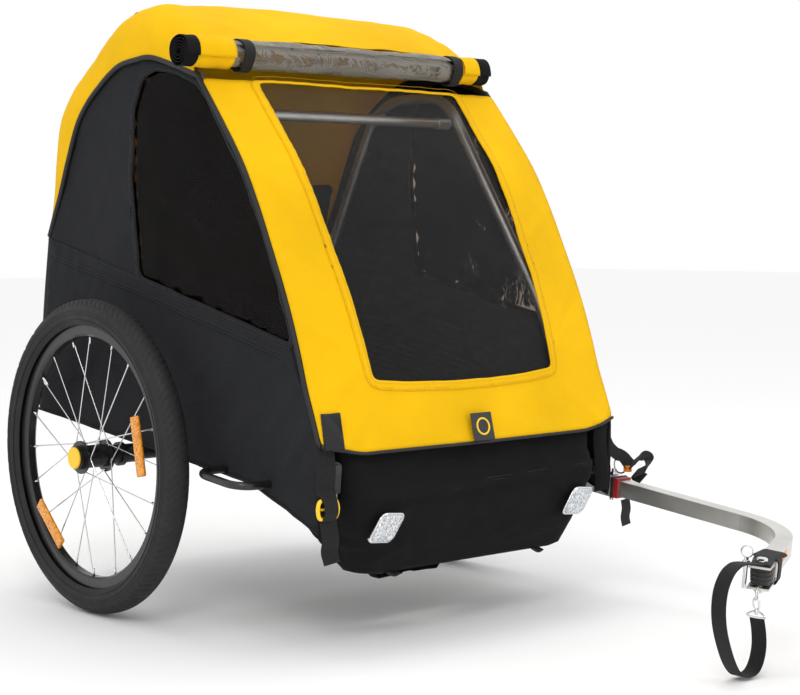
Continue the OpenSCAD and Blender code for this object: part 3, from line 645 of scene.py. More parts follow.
def front_shape(lift=0.0, wrinkles=2.4, puckers=0.2):
    """Places on the front panel from (x, length down the curve)."""
    def shape(flat):
        y = np.interp(flat[:, 1], front_run, front_curve[:, 0])
        z = np.interp(flat[:, 1], front_run, front_curve[:, 1])
        dy = np.interp(flat[:, 1] + 3, front_run, front_curve[:, 0]) - y
        dz = np.interp(flat[:, 1] + 3, front_run, front_curve[:, 1]) - z
        size = np.maximum(np.hypot(dy, dz), 1e-6)
        ny, nz = dz / size, -dy / size
        edge = np.clip((HALF_W - np.abs(flat[:, 0])) / 40, 0, 1)
        out = wave(flat, (70, 120), 2) * wrinkles * edge
        out += wave(flat, (26, 30), 5) * 0.7 * edge * (wrinkles > 0)
        out += crease_lines(flat, FRONT_CREASES, 7) * 3.2 * (wrinkles > 0)
        around = np.abs(np.abs(flat[:, 0]) - 200)
        out += np.sin(flat[:, 1] / 2.6) * puckers * np.exp(-(around / 12) ** 2)
        out += lift
        bowed = 12 * (1 - (flat[:, 0] / HALF_W) ** 2)
        return np.column_stack([flat[:, 0], y - bowed - 5.5 + ny * out, z + nz * out])
    return shape


FRONT_CREASES = [((-292, 655), (-205, 560), 0.9), ((-285, 560), (-215, 640), -0.7),
                 ((-270, 540), (-196, 500), 0.8), ((292, 640), (205, 560), 0.9),
                 ((-180, 612), (-90, 600), 0.6), ((60, 602), (200, 622), 0.7),
                 ((-289, 430), (-222, 470), 0.8), ((-290, 300), (-225, 360), -0.7),
                 ((-286, 180), (-228, 260), 0.8), ((220, 300), (288, 250), 0.8),
                 ((222, 460), (290, 400), -0.8), ((-292, 90), (-225, 150), 0.7),
                 ((226, 120), (292, 80), 0.7), ((-60, 650), (40, 640), -0.6)]


def front_hem(x):
    """Where the front panel's lower edge runs: level, and drawn up at both corners."""
    return FRONT_LENGTH + 11 - 15 * np.clip((np.abs(x) - 220) / 79, 0, 1) ** 1.6


def make_front():
    low = 8.0
    hem_x = np.linspace(HALF_W, -HALF_W, 61)
    outline = [(-HALF_W, low), (HALF_W, low)] + list(zip(hem_x, front_hem(hem_x)))
    hole = [(x, front_s(min(z, 832))) for x, z in MESH_HOLE]
    hole[-1] = (206, low + 3)
    hole += [(-x, s) for x, s in hole[:0:-1]]
    sides = np.asarray(hole, float)
    panel = cut_sheet("front_panel_cloth", outline, [sides], 9, front_shape(), M["yellow"], 1.6)
    settle(panel, replaces="front_panel", fold=True)
    loop = ring(sides, 8)
    if ((np.roll(loop, -1, 0) - loop) * np.stack([loop[:, 1], -loop[:, 0]], 1)).sum() > 0:
        loop = loop[::-1]
    outer, inner = grow(loop, 13), grow(loop, -1.5)
    outer[:, 1] = np.maximum(outer[:, 1], low)
    hem = cut_sheet("mesh_hem", outer, [inner], 6, front_shape(1.5, puckers=0.35), M["yellow"], 1.6)
    settle(hem, fold=True)
    net_edge = grow(loop, 8)
    net_edge[:, 1] = np.maximum(net_edge[:, 1], low + 1)
    net_sheet = cut_sheet("front_mesh_net", net_edge, [], 16, front_shape(-2.2, 1.2, 0),
                          M["net"], 0)
    settle(net_sheet, replaces="front_mesh", fold=True)
    rows = []
    for k, away in enumerate((2.5, 10.5)):
        path = front_shape(3.4)(np.vstack([grow(loop, away), grow(loop, away)[:1]]))
        rows.append(stitches("mesh_hem_stitch_%d" % k, path, (0, -0.2, 0), M["thread"]))
    for k, (x0, z0, x1) in enumerate(((-184, 383, -176), (184, 383, 186), (-246, 346, -243),
                                      (258, 350, 258))):
        lengths = np.linspace(front_s(z0) + 14, front_hem(x1) - 3, 30)
        seam = np.array([(np.interp(v, lengths[[0, -1]], (x0, x1)), v) for v in lengths])
        rows.append(stitches("lower_seam_stitch_%d" % k, front_shape(0.6)(seam + (2.5, 0)),
                             (0, -0.2, 0), M["thread"]))
        settle(tube("lower_seam_%d" % k, front_shape(-0.2)(seam), 1.2, M["yellow"], 6),
               fold=True)
    for row in rows:
        settle(row, fold=True)
    edge = np.array([(x, front_hem(x) + 0.5) for x in np.linspace(-HALF_W - 1, HALF_W + 1, 80)])
    settle(tube("front_hem_piping", front_shape(0.8)(edge), 2.6, M["piping"]),
           fold=True)


def side_x(flat, seed, rough=1.0):
    """How far a side panel stands out from the middle of the cabin, mm."""
    y, z = flat[:, 0], flat[:, 1]
    out = wave(flat, (90, 60), seed) * 2.4 + wave(flat, (34, 24), seed + 3) * 0.9
    low = np.clip((430 - z) / 150, 0, 1) * np.clip((-60 - y) / 200, 0, 1)
    out += wave(flat, (60, 16), seed + 7) * 2.6 * low
    out += crease_lines(flat, SIDE_CREASES, 6) * 3.0
    hollow = np.clip((y + 470) / 120, 0, 1) * np.clip((250 - y) / 90, 0, 1) * np.clip((z - 270) / 60, 0, 1)
    return HALF_W + 0.5 + rough * out * 0.9 - 4.5 * hollow


SIDE_CREASES = [((-470, 330), (-400, 250), 0.9), ((-440, 380), (-360, 300), 0.7),
                ((-480, 240), (-380, 262), 0.8), ((-420, 420), (-330, 380), 0.6),
                ((-350, 350), (-250, 280), 0.5), ((60, 560), (160, 420), 0.7),
                ((140, 560), (205, 430), 0.6), ((-60, 480), (60, 440), 0.5),
                ((-250, 420), (-130, 360), 0.4), ((100, 400), (220, 330), 0.6),
                ((-460, 290), (-410, 230), -0.7), ((190, 600), (215, 520), -0.6)]


def side_shape(side, lift=0.0, rough=1.0):
    def shape(flat):
        x = side_x(flat, 11 + side, rough) + lift
        return np.column_stack([side * x, flat[:, 0], flat[:, 1]])
    return shape


def anticlockwise(loop):
    loop = np.asarray(loop, float)
    area = (loop[:, 0] * np.roll(loop[:, 1], -1) - np.roll(loop[:, 0], -1) * loop[:, 1]).sum()
    return loop if area > 0 else loop[::-1]


def make_side(side, label):
    arch = smooth(ARCH, 60)
    front = smooth(ARCH_FRONT, 60)[1:]
    outline = np.vstack([[REAR_LOW], arch, front, SIDE_HEM])
    window = ring(anticlockwise(WINDOW), 8)
    shape = side_shape(side)
    turn = -1.0 if side > 0 else 1.0
    panel = cut_sheet("side_cloth_" + label, outline, [window], 10, shape, M["charcoal"], 1.4, turn)
    settle(panel, replaces="side_panel_" + label, fold=True)
    film = cut_sheet("side_film_" + label, grow(window, 9), [], 16, side_shape(side, -2.0, 0.5),
                     M["film"], 0.5, turn)
    settle(film, replaces="side_window_" + label, fold=True)
    hem = cut_sheet("window_hem_" + label, grow(window, 11), [grow(window, -1)], 7,
                    side_shape(side, 1.4), M["charcoal"], 1.4, turn)
    settle(hem, fold=True)
    flap_outline = [(236, 592), (-32, 530), (-424, 439), (-447, 384), (-406, 417), (-150, 474),
                    (138, 538), (222, 556)]
    flap = cut_sheet("side_flap_" + label, flap_outline, [], 9, side_shape(side, 1.5), M["charcoal"],
                     1.4, turn)
    settle(flap, fold=True)
    lines = [([(222, 558), (138, 540), (-150, 476), (-406, 419)], 2.2),
             ([(222, 562), (138, 545), (-150, 481), (-404, 425)], 2.2),
             ([(236, 589), (-40, 524), (-424, 436)], 2.2)]
    threads = []
    for k, (line, lift) in enumerate(lines):
        path = side_shape(side, lift)(evenly(line, 50))
        threads.append(stitches("flap_stitch_%s_%d" % (label, k), path, (side * 0.3, 0, 0),
                                M["dark_thread"]))
    for k, away in enumerate((2.5, 8.5)):
        path = side_shape(side, 2.2)(np.vstack([grow(window, away), grow(window, away)[:1]]))
        threads.append(stitches("window_stitch_%s_%d" % (label, k), path, (side * 0.3, 0, 0),
                                M["dark_thread"]))
    settle(join("side_stitching_" + label, threads), fold=True)
    edge = np.vstack([smooth(ARCH, 110), smooth(ARCH_FRONT, 110)[1:]])
    path = np.column_stack([np.full(len(edge), side * (HALF_W - 0.5)), edge])
    settle(tube("arch_piping_" + label, path, 4.4, M["piping"], 12), fold=True)
    low = evenly(np.vstack([[(-489, 297)], SIDE_HEM, [REAR_LOW]]), 90)
    path = side_shape(side, -0.5)(low)
    settle(tube("side_hem_" + label, path, 2.4, M["charcoal"], 8), fold=True)


def make_roof():
    a = np.radians([0, 8, 18, 30, 45, 60, 75, 90])
    arch, ridge = smooth(ARCH, 80), smooth(RIDGE, 80)
    flat_x = np.linspace(244, -244, 33)[1:-1]
    rows = []
    for i in range(80):
        half = [(244 + 55 * math.cos(t), *(arch[i] + (ridge[i] - arch[i]) * math.sin(t))) for t in a]
        top = [(x, ridge[i][0], ridge[i][1] + 6 * (1 - (x / 244) ** 2)) for x in flat_x]
        other = [(-x, y, z) for x, y, z in half[::-1]]
        rows.append(half + top + other)
    grid = np.array(rows)
    grid = grid[grid[:, 20, 1] > -186]
    rim = np.clip((299.5 - np.abs(grid[..., 0])) / 30, 0, 1)
    grid = crumple(grid, 4.2, (110, 75, 75), 3, rim)
    grid = crumple(grid, 1.4, (34, 26, 26), 9, rim)
    grid[..., 2] += 1.5
    piece = cloth_grid("roof_cloth", grid[:, ::-1], M["yellow"], 1.8)
    soften(piece, 1)
    settle(piece, replaces="roof_cover", fold=True)
    for side in (-1, 1):
        path = np.array([(side * (HALF_W - 1.5), y, z + 4.6) for y, z in smooth(ARCH, 120)[2:-3]])
        row = stitches("roof_edge_stitch_%d" % (side > 0), path, (side * 0.8, 0, 1.2), M["thread"])
        settle(row, fold=True)


def make_snap():
    """The press stud at the roof's right rear shoulder."""
    stud = lathe("roof_snap", [(-1, 5.6), (0.8, 5.6), (1.6, 4.6), (2.4, 2.6), (2.6, 0.01)],
                 (-247, 40, 950.5), (-0.55, 0.1, 0.8), M["black_plastic"], 24)
    settle(stud, fold=True)


def soften(piece, levels=1):
    made = piece.modifiers.new("smooth", "SUBSURF")
    made.levels = levels
    made.render_levels = levels
    return piece


def make_rear():
    rows = smooth([(242, 593, 0), (264, 460, 10), (281, 300, 12)], 40)
    x = np.linspace(-295, 295, 60)
    grid = np.array([[(v, y + b * (1 - (v / 299) ** 2) + 3, z) for v in x] for y, z, b in rows])
    mask = np.clip((295 - np.abs(grid[..., 0])) / 40, 0, 1)
    grid = crumple(grid, 4.0, (90, 90, 70), 21, mask)
    piece = cloth_grid("rear_cloth", grid, M["charcoal"], 1.4)
    settle(piece, replaces="rear_panel", fold=True)
    frame_line = [(-290, 246, 590), (290, 246, 590)]
    settle(tube("rear_piping", evenly(frame_line, 20), 4, M["piping"]), fold=True)
    for side in (-1, 1):
        path = np.array([(side * 292, r[0] + 1.5, r[1]) for r in rows])
        settle(tube("rear_side_piping_%d" % (side > 0), path, 3.4, M["piping"]), fold=True)


def plan_path(half_w, y_front, y_back, radius, count, low=0.0):
    """A U in plan from the back left, round the front, to the back right; low, from 0 at the
    side hem to 1 at the floor, draws the back corners in to the footwell."""
    corner = [(-half_w + radius - radius * math.cos(t), y_front + radius - radius * math.sin(t))
              for t in np.linspace(0, math.pi / 2, 7)]
    left = [(-half_w + 82 * low, y_back - 4 * low), (-half_w, y_back - 102 * low - 0.5)]
    half = left + corner
    return evenly(half + [(-x, y) for x, y in half[::-1]], count)


NOSE_CREASES = [((-250, 222), (252, 232), 1.5), ((-236, 208), (215, 216), -1.2),
                ((-246, 250), (-120, 262), 0.6), ((-60, 252), (110, 268), 0.5),
                ((-236, 140), (-150, 205), 0.9), ((240, 150), (160, 205), 0.8),
                ((-150, 150), (60, 128), 0.7), ((-215, 118), (-140, 150), 0.8),
                ((40, 240), (180, 205), 0.6), ((-190, 240), (-60, 215), 0.7)]


def make_nose():
    profile = smooth([(255, -486, 292, 16), (254, -497, 262, 30), (252, -513, 222, 34),
                      (243, -508, 190, 34), (226, -490, 140, 34), (212, -476, 108, 30)], 56)
    rows = []
    for half_w, y, z, radius in profile:
        low = float(np.clip((216 - z) / 113, 0.01, 1))
        rows.append([(px, py, z) for px, py in plan_path(half_w, y, -336, radius, 120, low)])
    base = np.array(rows[-1])
    middle = np.array([0, -400, 103])
    for t in (0.06, 0.2, 0.45, 0.75, 0.97):
        ring_in = base + (middle - base) * t
        ring_in[:, 2] = 104
        rows.append([tuple(p) for p in ring_in])
    grid = np.array(rows)
    flat = np.column_stack([grid[..., 0].ravel(), grid[..., 2].ravel()])
    mask = np.clip((grid[..., 2] - 108) / 20, 0, 1)
    crease = crease_lines(flat, NOSE_CREASES, 6).reshape(mask.shape) * 3.0 * (grid[..., 1] < -430)
    normal = normals_of(grid)
    flip = np.sign((normal * (grid - (0, -400, 190))).sum(2, keepdims=True))
    grid = grid + normal * flip * (crease * mask)[..., None]
    grid = crumple(grid, 3.4, (80, 60, 34), 31, mask)
    grid = crumple(grid, 1.0, (24, 20, 14), 35, mask)
    piece = cloth_grid("nose_cloth", grid, M["black_cloth"], 1.6, 0.0)
    settle(piece, replaces="nose_bumper",
           fold=True)
    threads = []
    for k, (z0, z1) in enumerate(((226, 236), (222, 232))):
        path = [(x, -512.5, z0 + (z1 - z0) * (x + 240) / 480) for x in np.linspace(-222, 222, 60)]
        threads.append(stitches("nose_stitch_%d" % k, path, (0, -2.5, 0), M["dark_thread"]))
    settle(join("nose_stitching", threads),
           fold=True)


def make_footwell():
    levels = smooth([(200, -336, -182, 218), (165, -336, -215, 180), (125, -336, -255, 135),
                     (85, -336, -285, 90), (60, -336, -298, 64)], 34)
    rows = []
    for half_w, y0, y1, z in levels:
        r = 24
        back = [(-half_w + r - r * math.cos(t), y1 - r + r * math.sin(t))
                for t in np.linspace(0, math.pi / 2, 7)]
        path = evenly([(-half_w, y0), *back, *[(-x, y) for x, y in back[::-1]], (half_w, y0)], 90)
        rows.append([(px, py, z) for px, py in path])
    base = np.array(rows[-1])
    for t in (0.1, 0.4, 0.8):
        inner = base + (np.array([0, -336, 63]) - base) * (t, t, 0)
        rows.append([tuple(p) for p in inner])
    grid = crumple(np.array(rows), 2.4, (70, 60, 40), 41)
    piece = cloth_grid("footwell_cloth", grid, M["black_cloth"], 1.6, 0.0)
    settle(piece, replaces="footwell")


# ---------------------------------------------------------------- rolled rain cover
def spiral(x, turns, start, r_in, r_out, count, squeeze=1.0):
    t = np.linspace(0, 1, count)
    angle, radius = 2 * math.pi * turns * t + start, (r_in + (r_out - r_in) * t) * squeeze
    return np.column_stack([np.full(count, x), ROLL_AT[0] + radius * np.cos(angle),
                            ROLL_AT[1] + radius * np.sin(angle)])


def make_roll():
    """The clear cover rolled up over the window: vinyl between yellow and black cloth ends."""
    rows = []
    for v in np.linspace(-252, 224, 150):
        squeeze = 1 - 0.12 * sum(math.exp(-((v - c) / 18) ** 2) for c in STRAP_X)
        rows.append(spiral(v, 1.3, 0.6, 16, ROLL_R - 0.6, 120, squeeze))
    grid = crumple(np.array(rows), 2.0, (60, 22, 22), 51)
    grid = crumple(grid, 1.0, (22, 9, 9), 53)
    vinyl = cloth_grid("rolled_vinyl", grid, M["vinyl"], 0.4)
    settle(vinyl, replaces="rolled_rain_cover", fold=True)
    for name, key, slot, ends in (
            ("end_yellow", "yellow", "yellow_fabric", ((-248, -314), (222, 256))),
            ("end_black", "black_cloth", "black_fabric", ((-309, -337), (250, 283)))):
        for k, (a, b) in enumerate(ends):
            grid = np.array([spiral(v, 4.5, 0.3, 4, ROLL_R + (0.4 if key == "yellow" else -0.3), 160)
                             for v in np.linspace(a, b, 12)])
            grid = crumple(grid, 1.4, (18, 20, 20), 57 + k)
            piece = cloth_grid("roll_%s_%d" % (name, k), grid, M[key], 1.3)
            settle(piece, fold=True)
    straps = []
    for x in STRAP_X:
        ang = np.linspace(-0.5 * math.pi, 1.62 * math.pi, 70)
        lift = np.where(ang > 1.3 * math.pi, 2.2, 0.6)
        path = np.column_stack([np.full(70, x + 1.0 * np.sin(3 * ang)),
                                ROLL_AT[0] + (22.8 + lift) * np.cos(ang),
                                ROLL_AT[1] + (22.8 + lift) * np.sin(ang)])
        straps.append(ribbon("roll_strap", path, (1, 0, 0), 20, 2.0, M["webbing"]))
        tab = smooth([(x, -182, 881), (x - 1, -172, 894), (x - 2, -155, 907)], 16)
        straps.append(ribbon("roll_strap_tab", tab, (1, 0, 0), 22, 2.0, M["webbing"]))
    settle(join("roll_strap_webbing", straps), replaces="roll_straps", fold=True)


# ---------------------------------------------------------------- small hard parts
def rounded_box(name, size, bevel, material, at=(0, 0, 0), turn=None, segments=3):
    """A moulded block with rounded edges; mm, with turn a 3x3 matrix."""
    bm = bmesh.new()
    bmesh.ops.create_cube(bm, size=1)
    for v in bm.verts:
        v.co = Vector([c * s for c, s in zip(v.co, size)])
    bmesh.ops.bevel(bm, geom=bm.edges[:], offset=bevel, segments=segments, affect="EDGES",
                    profile=0.5)
    spin = np.array(turn if turn is not None else np.eye(3), float)
    bm.verts.index_update()
    points = [spin @ np.array(v.co) + np.array(at, float) for v in bm.verts]
    faces = [tuple(v.index for v in f.verts) for f in bm.faces]
    bm.free()
    return finish_mesh(name, points, faces, material)


def lathe(name, profile, origin, axis, material, sides=64):
    """Turn a profile of (along, radius) points about an axis through a mm origin."""
    axis = Vector(axis).normalized()
    side = axis.orthogonal().normalized()
    other = axis.cross(side)
    vertices = []
    for along, radius in profile:
        for s in range(sides):
            angle = 2 * math.pi * s / sides
            offset = radius * (math.cos(angle) * side + math.sin(angle) * other) + along * axis
            vertices.append(np.array(origin, float) + np.array(offset))
    faces = grid_faces(len(profile), sides, wrap_cols=True)
    return finish_mesh(name, vertices, faces, material)


def turn_x(degrees):
    t = math.radians(degrees)
    return np.array([(1, 0, 0), (0, math.cos(t), -math.sin(t)), (0, math.sin(t), math.cos(t))])


def turn_z(degrees):
    t = math.radians(degrees)
    return np.array([(math.cos(t), -math.sin(t), 0), (math.sin(t), math.cos(t), 0), (0, 0, 1)])


BAR_AT = np.array([330.0, -484.0, 183.0])
BAR_STRAIGHT, BAR_BEND_R, BAR_BEND, BAR_TAIL = 254, 150, 62, 150
BAR_TURN = turn_x(6.2)
END_TURN = BAR_TURN @ turn_z(-BAR_BEND)


def bar_point(p):
    """From the tow bar's own frame, out of the receiver along -Y, to mm places."""
    return BAR_TURN @ np.asarray(p, float) + BAR_AT


def end_point(p):
    """From the frame at the tow bar's far end to mm places."""
    bend = np.array([-BAR_BEND_R, -BAR_STRAIGHT, 0])
    return bar_point(turn_z(-BAR_BEND) @ (np.asarray(p, float) + (BAR_BEND_R, -BAR_TAIL, 0)) + bend)


def wheel_way(degrees):
    """A spoke's direction, at an angle from straight down."""
    t = math.radians(degrees)
    return np.array([0, math.sin(t), -math.cos(t)])


RING_R, SECTION_R = 225, 23
SPOKE_COUNT = 20
REFLECTOR_ANGLES, REFLECTOR_R = (259, 42), 158
VALVE_ANGLE = 128


def make_tyre(side, label, body):
    """The tread: slanted sipes, a fine shoulder pattern and two centre grooves."""
    x0, z0 = side * WHEEL_X / MM, TYRE_R / MM
    turns, ring_count = 560, 41
    section = np.radians(np.linspace(-142, 142, ring_count))
    angle = np.linspace(0, 2 * math.pi, turns, endpoint=False)
    a, s = np.meshgrid(angle, section, indexing="ij")
    along, across = a * 248, np.degrees(s) / 57.3 * SECTION_R
    hard = np.abs(across)
    phase = (along + 5.5 * np.sign(across) * (hard / 10) ** 1.4) % 13.0
    sipe = (phase < 3.1) & (hard > 5) & (hard < 21)
    fine = ((along + 3) % 6.5 < 1.4) & (hard > 21) & (hard < 27)
    centre = (np.abs(hard - 4.2) < 0.9)
    depth = 1.7 * sipe + 0.8 * fine + 1.2 * centre
    bulge = SECTION_R + 0.9 * np.exp(-((hard - 12) / 9) ** 2) - 0.25
    radius = (bulge - depth) * np.where(hard > 44, 0.985, 1)
    r = RING_R + radius * np.cos(s)
    points = np.stack([x0 + radius * np.sin(s), r * np.cos(a), z0 + r * np.sin(a)], axis=-1)
    uv = np.stack([along, across], axis=-1).reshape(-1, 2) * MM
    tyre = finish_mesh("tyre_rubber_" + label, points.reshape(-1, 3),
                       grid_faces(turns, ring_count, wrap_rows=True), M["tyre"], uv)
    tyre.data.flip_normals()
    settle(tyre, body, replaces="tyre_" + label)
    parts = []
    for away, high in ((31, 0.5), (36, 0.7), (46, 0.9)):
        t = away / SECTION_R
        for lean in (-1, 1):
            rr = RING_R + 22.9 * math.cos(t)
            xx = x0 + lean * 22.9 * math.sin(t)
            path = [(xx, rr * math.cos(v), z0 + rr * math.sin(v))
                    for v in np.linspace(0, 2 * math.pi, 180, endpoint=False)]
            parts.append(tube("tyre_rib", path, high, M["tyre"], 6, closed=True))
    settle(join("tyre_ribs_" + label, parts), body)


def make_wheel_fittings(side, label, body):
    """Spoke nipples, spoke reflectors, the valve stem and the yellow button cap."""
    x0, z0 = side * WHEEL_X / MM, TYRE_R / MM
    nipples = []
    for k in range(SPOKE_COUNT):
        spot = np.array([x0 + side * (2 if k % 2 == 0 else -2), 0, z0])
        way = wheel_way(360 / SPOKE_COUNT * k)
        line = [spot + way * q for q in (178, 184, 190.4)]
        nipples.append(tube("nipple", line, (1.7, 1.9, 2.4), M["chrome"], 8))
    settle(join("spoke_nipples_" + label, nipples), body)
    bits = []
    for degrees in REFLECTOR_ANGLES:
        way = wheel_way(degrees)
        turn = np.column_stack([way, np.cross((side, 0, 0), way), (side, 0, 0)])
        middle = np.array([x0 + side * 16.6, 0, z0]) + way * REFLECTOR_R
        bits.append(rounded_box("reflector_body", (21, 92, 6.0), 2.6, M["orange_reflector"],
                                middle, turn))
    settle(join("spoke_reflectors_" + label, bits), body,
           replaces="wheel_reflectors_" + label)
    way = wheel_way(VALVE_ANGLE)
    spot = np.array([x0, 0, z0])
    stem = tube("valve_" + label, [spot + way * q for q in (190, 186, 180, 179, 172, 171)],
                (3.4, 3.3, 3.0, 2.6, 2.6, 1.9), M["chrome"], 14)
    settle(stem, body)
    cap_profile = [(29.2, 0.01), (29.2, 5.2), (32.0, 5.2), (32.2, 15.4), (32.8, 17.2), (34.6, 17.2),
                   (35.9, 16.4), (36.5, 14.6), (35.9, 13.4), (35.4, 11.0), (35.6, 6.0), (35.8, 0.01)]
    cap = lathe("push_cap_" + label, cap_profile, (x0, 0, z0), (side, 0, 0), M["yellow_plastic"])
    settle(cap, "button_r" if side < 0 else "button_l",
           replaces="hub_button_" + label)


def make_wheel(side, label):
    body = "wheel_r" if side < 0 else "wheel_l"
    make_tyre(side, label, body)
    make_wheel_fittings(side, label, body)


def rounded_loop(half_w, half_h, corner, steps):
    """A flat rectangle's outline with round corners, as pairs."""
    return [(cx * (half_w - corner) + corner * math.cos(t),
             cz * (half_h - corner) + corner * math.sin(t))
            for cx, cz, start in ((1, 1, 0), (-1, 1, 90), (-1, -1, 180), (1, -1, 270))
            for t in np.radians(np.linspace(start, start + 90, steps))]


def lens(name, at, lean, size, corner, levels, material):
    """A domed plate with round corners in its own x-z plane: levels of (scale, depth)."""
    loop = rounded_loop(size[0] / 2, size[1] / 2, corner, 9)
    points = [at + lean @ np.array(((x + 0.6 * z) * scale, depth, (z - 0.1 * x) * scale))
              for scale, depth in levels for x, z in loop]
    return finish_mesh(name, points, grid_faces(len(levels), len(loop), wrap_cols=True), material)


def make_nose_fittings():
    lean = turn_x(8)
    frames, lenses, pads = [], [], []
    for side in (-1, 1):
        at = np.array([side * 197 - 5, -516.0, 179.0])
        frames.append(lens("reflector_frame", at, lean, (45, 42), 9,
                           [(0.01, 0), (1, 0), (1, -4), (0.96, -5), (0.01, -5)], M["chrome"]))
        lenses.append(lens("reflector_lens", at, lean, (41, 38), 8,
                           [(0.01, -4.5), (1, -4.8), (0.99, -6.4), (0.93, -8), (0.8, -8.8), (0.5, -9.3),
                            (0.01, -9.5)], M["clear_reflector"]))
        pad = smooth([(side * 150 - 16, -466, 108), (side * 150, -462, 101),
                      (side * 150 + 16, -455, 101)], 12)
        pads.append(ribbon("nose_pad", pad, (0, 1, 0.4), 26, 2.6, M["webbing"]))
        pads.append(lathe("skid_pad", [(4, 0.01), (4, 8.6), (1.2, 9), (0.2, 8), (0, 0.01)],
                          (side * 160, -450, 98.8), (0, 0, 1), M["connector"], 32))
    settle(join("nose_lenses", lenses), replaces="nose_fittings")
    settle(join("nose_lens_frames", frames))
    settle(join("skid_pads", pads))


def ladder_buckle(name, at):
    """A webbing buckle facing -Y: a curved ear each side of three flat bars."""
    at = np.array(at, float)
    parts = []
    for side in (-1, 1):
        ear = smooth([(side * 10, 0, 13.5), (side * 15.5, -1, 10), (side * 18, -1.5, 0),
                      (side * 15.5, -1, -10), (side * 10, 0, -13.5)], 24)
        parts.append(tube("buckle_ear", ear + at, (2.2, *[3.0] * 22, 2.2), M["yellow_plastic"], 12))
    for dz in (12.5, 0.5, -12.5):
        parts.append(rounded_box("buckle_bar", (24, 3.0, 3.6), 1.2, M["yellow_plastic"], at + (0, 0, dz)))
    return join(name, parts)


def make_corners():
    """The webbing, its hook patch and the ladder buckle at the right front corner."""
    top = smooth([(-291, -490, 302), (-291.5, -491, 284), (-292, -494, 262), (-293, -494, 240),
                  (-293.5, -501, 229), (-293.5, -507, 220), (-293.5, -507.5, 206), (-293, -500, 196)], 60)
    widths = np.interp(top[:, 2], (196, 222, 236, 262), (23, 23, 31, 33))
    strap = ribbon("strap_top", top, (1, -0.1, 0.02), widths, 2.0, M["webbing"])
    tail = smooth([(-293.5, -495, 224), (-293, -497, 204), (-292.5, -499, 192), (-291, -502, 170),
                   (-291, -499, 152), (-289, -503, 135)], 44)
    loose = ribbon("strap_tail", tail, (1, -0.16, -0.05), 27, 1.6, M["webbing"])
    settle(join("corner_webbing", [strap, loose]), replaces="corner_straps")
    top_s, low_s = front_s(343), front_s(293)
    patch = cut_sheet("hook_patch", [(-298, low_s), (-290, top_s), (-258, top_s), (-265, low_s)], [],
                      6, front_shape(2.6), M["fuzz"], 2.0, rounded=False)
    settle(patch, fold=True)
    buckle = ladder_buckle("corner_buckle_bars", (-294, -499, 212))
    settle(buckle, replaces="corner_buckles")
    gusset = np.array([[(x, y - 2 * math.sin(6 * t), z) for x, y in ((254, -497), (270, -496),
                        (284, -493), (296.5, -488))]
                       for t, z in zip(np.linspace(0, 1, 10), np.linspace(184, 290, 10))])
    settle(cloth_grid("corner_gusset", crumple(gusset, 0.8, (20, 20, 20), 77), M["black_cloth"], 1.2,
                      0.0))


def make_badge():
    """A plain badge: a dark rounded square with a yellow ring."""
    at = np.array([-6, -512.0, 309.0])
    lean = turn_x(-14)
    plate = rounded_box("badge_plate", (42, 1.6, 42), 0.7, M["black_plastic"], at, lean)
    settle(plate, fold=True)
    ring_path = [at + lean @ (12 * math.cos(t), -1.2, 12 * math.sin(t))
                 for t in np.linspace(0, 2 * math.pi, 40, endpoint=False)]
    mark = tube("badge_mark", ring_path, 1.5, M["yellow_plastic"], 8, closed=True)
    settle(mark, fold=True)


def make_bar_end():
    """The webbing sleeve over the hitch bracket, its tab, and a label on the bar."""
    loop = ring(np.array(rounded_loop(18.0, 18.0, 5, 6)), 3)
    rows = []
    for y in np.linspace(4, 30, 14):
        rows.append([end_point((px, y, pz)) for px, pz in np.vstack([loop, loop[:1]])])
    grid = crumple(np.array(rows), 0.9, (14, 14, 14), 61)
    sleeve = cloth_grid("bar_sleeve", grid, M["webbing"], 1.8, 0.0)
    patch = ribbon("bar_patch", smooth([end_point((x, 42 - 0.25 * x, 13.2 + 2 + (abs(x) > 13) * -1.5))
                                        for x in (-17, -12, 0, 12, 17)], 24),
                   END_TURN @ np.array((0.2, 1, 0)), 34, 1.8, M["webbing"])
    tab_z = 13.2 + 3 + 1.4
    tab_path = [end_point((0, y, tab_z + 0.5 * math.sin(y / 6))) for y in np.linspace(16, -38, 28)]
    tab = ribbon("bar_tab", tab_path, END_TURN @ (1, 0, 0), 25, 1.8, M["webbing"])
    settle(join("bar_wrap_webbing", [sleeve, tab, patch]), replaces="bar_wrap")
    label = rounded_box("bar_label", (0.6, 34, 12), 0.25, M["orange_label"],
                        end_point((12.9, 92, 4)), END_TURN)
    settle(label)


# The webbing loop at the tow bar's end: middle line as (x, z) mm, from the tab to the hook
STRAP_Y, STRAP_W = -956, 25
STRAP_ROUTE = [[78, 151], [69, 152.5], [51, 155.5], [34, 155], [17, 146], [4, 127], [-1, 103],
               [1, 77], [10, 49], [23, 23], [38, 7], [55, 3], [70, 7], [80, 20], [85, 39],
               [84, 59], [80, 77]]
HOOK_X, RING_BAR_Z = 80, 78.6


